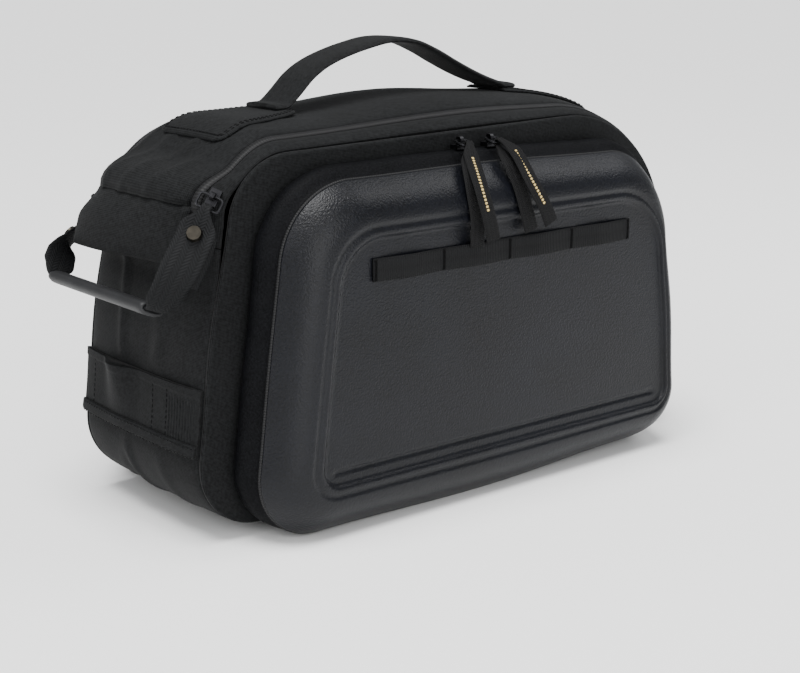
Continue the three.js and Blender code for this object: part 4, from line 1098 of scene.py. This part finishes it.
light_band = wrap_piece("light_loops", LIGHT_STEPS[0], LIGHT_STEPS[2], thickness=LIGHT_LAYER,
                        lift=LIGHT_LIFT + LIGHT_LAYER, pitch=0.65 * MM, raise_by=light_raise,
                        ripple=0.3 * MM, seams=NONE_SEWN)
fasten(light_band, "light_band")
hem = wrap_piece("light_loops_hem", LIGHT_STEPS[0], LIGHT_STEPS[1], thickness=LIGHT_LAYER, lift=HEM_LIFT,
                 pitch=1.2 * MM, raise_by=hem_raise, ripple=0, seams=NONE_SEWN)
fasten(hem, "light_band_hem")
stitches = []
for y in DIVIDERS:
    spots = [(step, y) for step in spread(LIGHT_STEPS[1], LIGHT_STEPS[2], 90)]
    stitches += light_stitches(spots, LIGHT_LIFT + LIGHT_LAYER, 0.1 * MM)
for z in (LIGHT_FOOT + HEM_SEAM, LIGHT_FOOT + HEM_HEIGHT - HEM_SEAM):
    step = step_where(body_outline, z, 1, 2, 1)
    spots = [(step, y) for y in spread(-WRAP_EDGE + 2 * MM, WRAP_EDGE - 2 * MM, 380)]
    stitches += light_stitches(spots, HEM_LIFT, 0.05 * MM)
sewn("light_loops_thread", stitches, black_thread)


# The top handle: a padded strap of the body cloth that springs up from the lid, and at each end of it
# a patch of cloth, narrow at the handle and flared outwards, sewn down over the lid.
HANDLE_SPAN = 178 * MM
HANDLE_RISE = 31 * MM
HANDLE_CENTRE = -11 * MM
HANDLE_TAB = 10 * MM
HANDLE_WIDTH = 33 * MM
HANDLE_THICKNESS = 3.4 * MM
PATCH_LENGTH = 58 * MM
PATCH_WIDTH = 74 * MM
PATCH_THICKNESS = 1.6 * MM
PATCH_LIFT = 0.8 * MM + PATCH_THICKNESS
PATCH_MARGIN = 2 * MM
STITCH_END = 0.955
HANDLE_ARCH = [(0.02, 0.09), (0.055, 0.24), (0.1, 0.44), (0.16, 0.62), (0.24, 0.77), (0.34, 0.9), (0.46, 1),
               (0.57, 0.95), (0.67, 0.76), (0.76, 0.53), (0.85, 0.31), (0.93, 0.14), (0.98, 0.05)]


def lid_step(x):
    return step_where(body_outline, x, 2, 5, 0)


def on_lid(x):
    return on_wrap(lid_step(x), 0, PATCH_LIFT + GAP + HANDLE_THICKNESS / 2)


rear_foot = HANDLE_CENTRE - HANDLE_SPAN / 2
front_foot = HANDLE_CENTRE + HANDLE_SPAN / 2
rear_height, front_height = on_lid(rear_foot).z, on_lid(front_foot).z
top = on_lid(HANDLE_CENTRE).z + HANDLE_RISE
path = [on_lid(rear_foot - tab) for tab in (HANDLE_TAB, HANDLE_TAB / 2, MM)]
for share, rise in HANDLE_ARCH:
    chord = rear_height + (front_height - rear_height) * share
    path.append(Vector((rear_foot + share * HANDLE_SPAN, 0, chord + (top - chord) * rise)))
path += [on_lid(front_foot + tab) for tab in (MM, HANDLE_TAB / 2, HANDLE_TAB)]
stations = [(place, Vector((0, 1, 0)), HANDLE_WIDTH) for place in path]
handle = strap_piece("handle", stations, HANDLE_THICKNESS, body_cloth, 2 * MM, 0.5 * MM)
fasten(handle, "top_handle")


def patch_half(share):
    """Half of a patch's width at a share of the way from the handle, with its outer corners rounded."""
    narrow = HANDLE_WIDTH / 2 + PATCH_MARGIN
    flare = narrow + (PATCH_WIDTH / 2 - narrow) * share ** 0.5
    corner = max(0, (share - 0.86) / 0.14)
    return flare - 9 * MM * (1 - (1 - corner ** 2) ** 0.5)


def patch_piece(name, foot, sign):
    """A flared patch from a foot of the handle towards the rear (-1) or the front (1)."""
    first = foot - sign * PATCH_MARGIN
    last = foot + sign * PATCH_LENGTH

    def place(share, u):
        step = lid_step(first + (last - first) * share)
        half = patch_half(share)
        y = u * half
        start = on_wrap(step, y, PATCH_LIFT)
        away = off_wrap(step, y)
        edge = min((1 - share) * PATCH_LENGTH, half - abs(y), share * PATCH_LENGTH + 2 * MM)
        roll = 0.7 * MM * (1 - blend_share(edge, 0, 2.2 * MM))
        puff = 0.5 * MM * blend_share(edge, 3.5 * MM, 9 * MM) + soft_ripple(start, 22 * MM, 0.3 * MM, 5)
        return start + away * (puff - roll), start - away * PATCH_THICKNESS, (share * PATCH_LENGTH, y)

    return sheet_piece(name, spread(0, 1, 34), spread(-1, 1, 36), place, body_cloth)


stitches = []
for side, foot, sign in (("rear", rear_foot, -1), ("front", front_foot, 1)):
    patch = patch_piece(f"patch_{side}", foot, sign)
    fasten(patch, f"handle_patch_{side}")
    runs = spread(0, 1, 119)
    spots = [(run * STITCH_END, -1) for run in runs] + [(STITCH_END, 2 * run - 1) for run in runs]
    spots += [(run * STITCH_END, 1) for run in reversed(runs)]
    for inset in (2.8 * MM, 5 * MM):
        line = []
        for share, u in spots:
            y = u * (patch_half(share) - inset)
            step = lid_step(foot - sign * PATCH_MARGIN + sign * (PATCH_LENGTH + PATCH_MARGIN) * share)
            out = off_wrap(step, y)
            line.append((on_wrap(step, y, PATCH_LIFT) + out * 0.2 * MM, out))
        stitches += running_stitch(line)
sewn("patch_thread", stitches, black_thread)
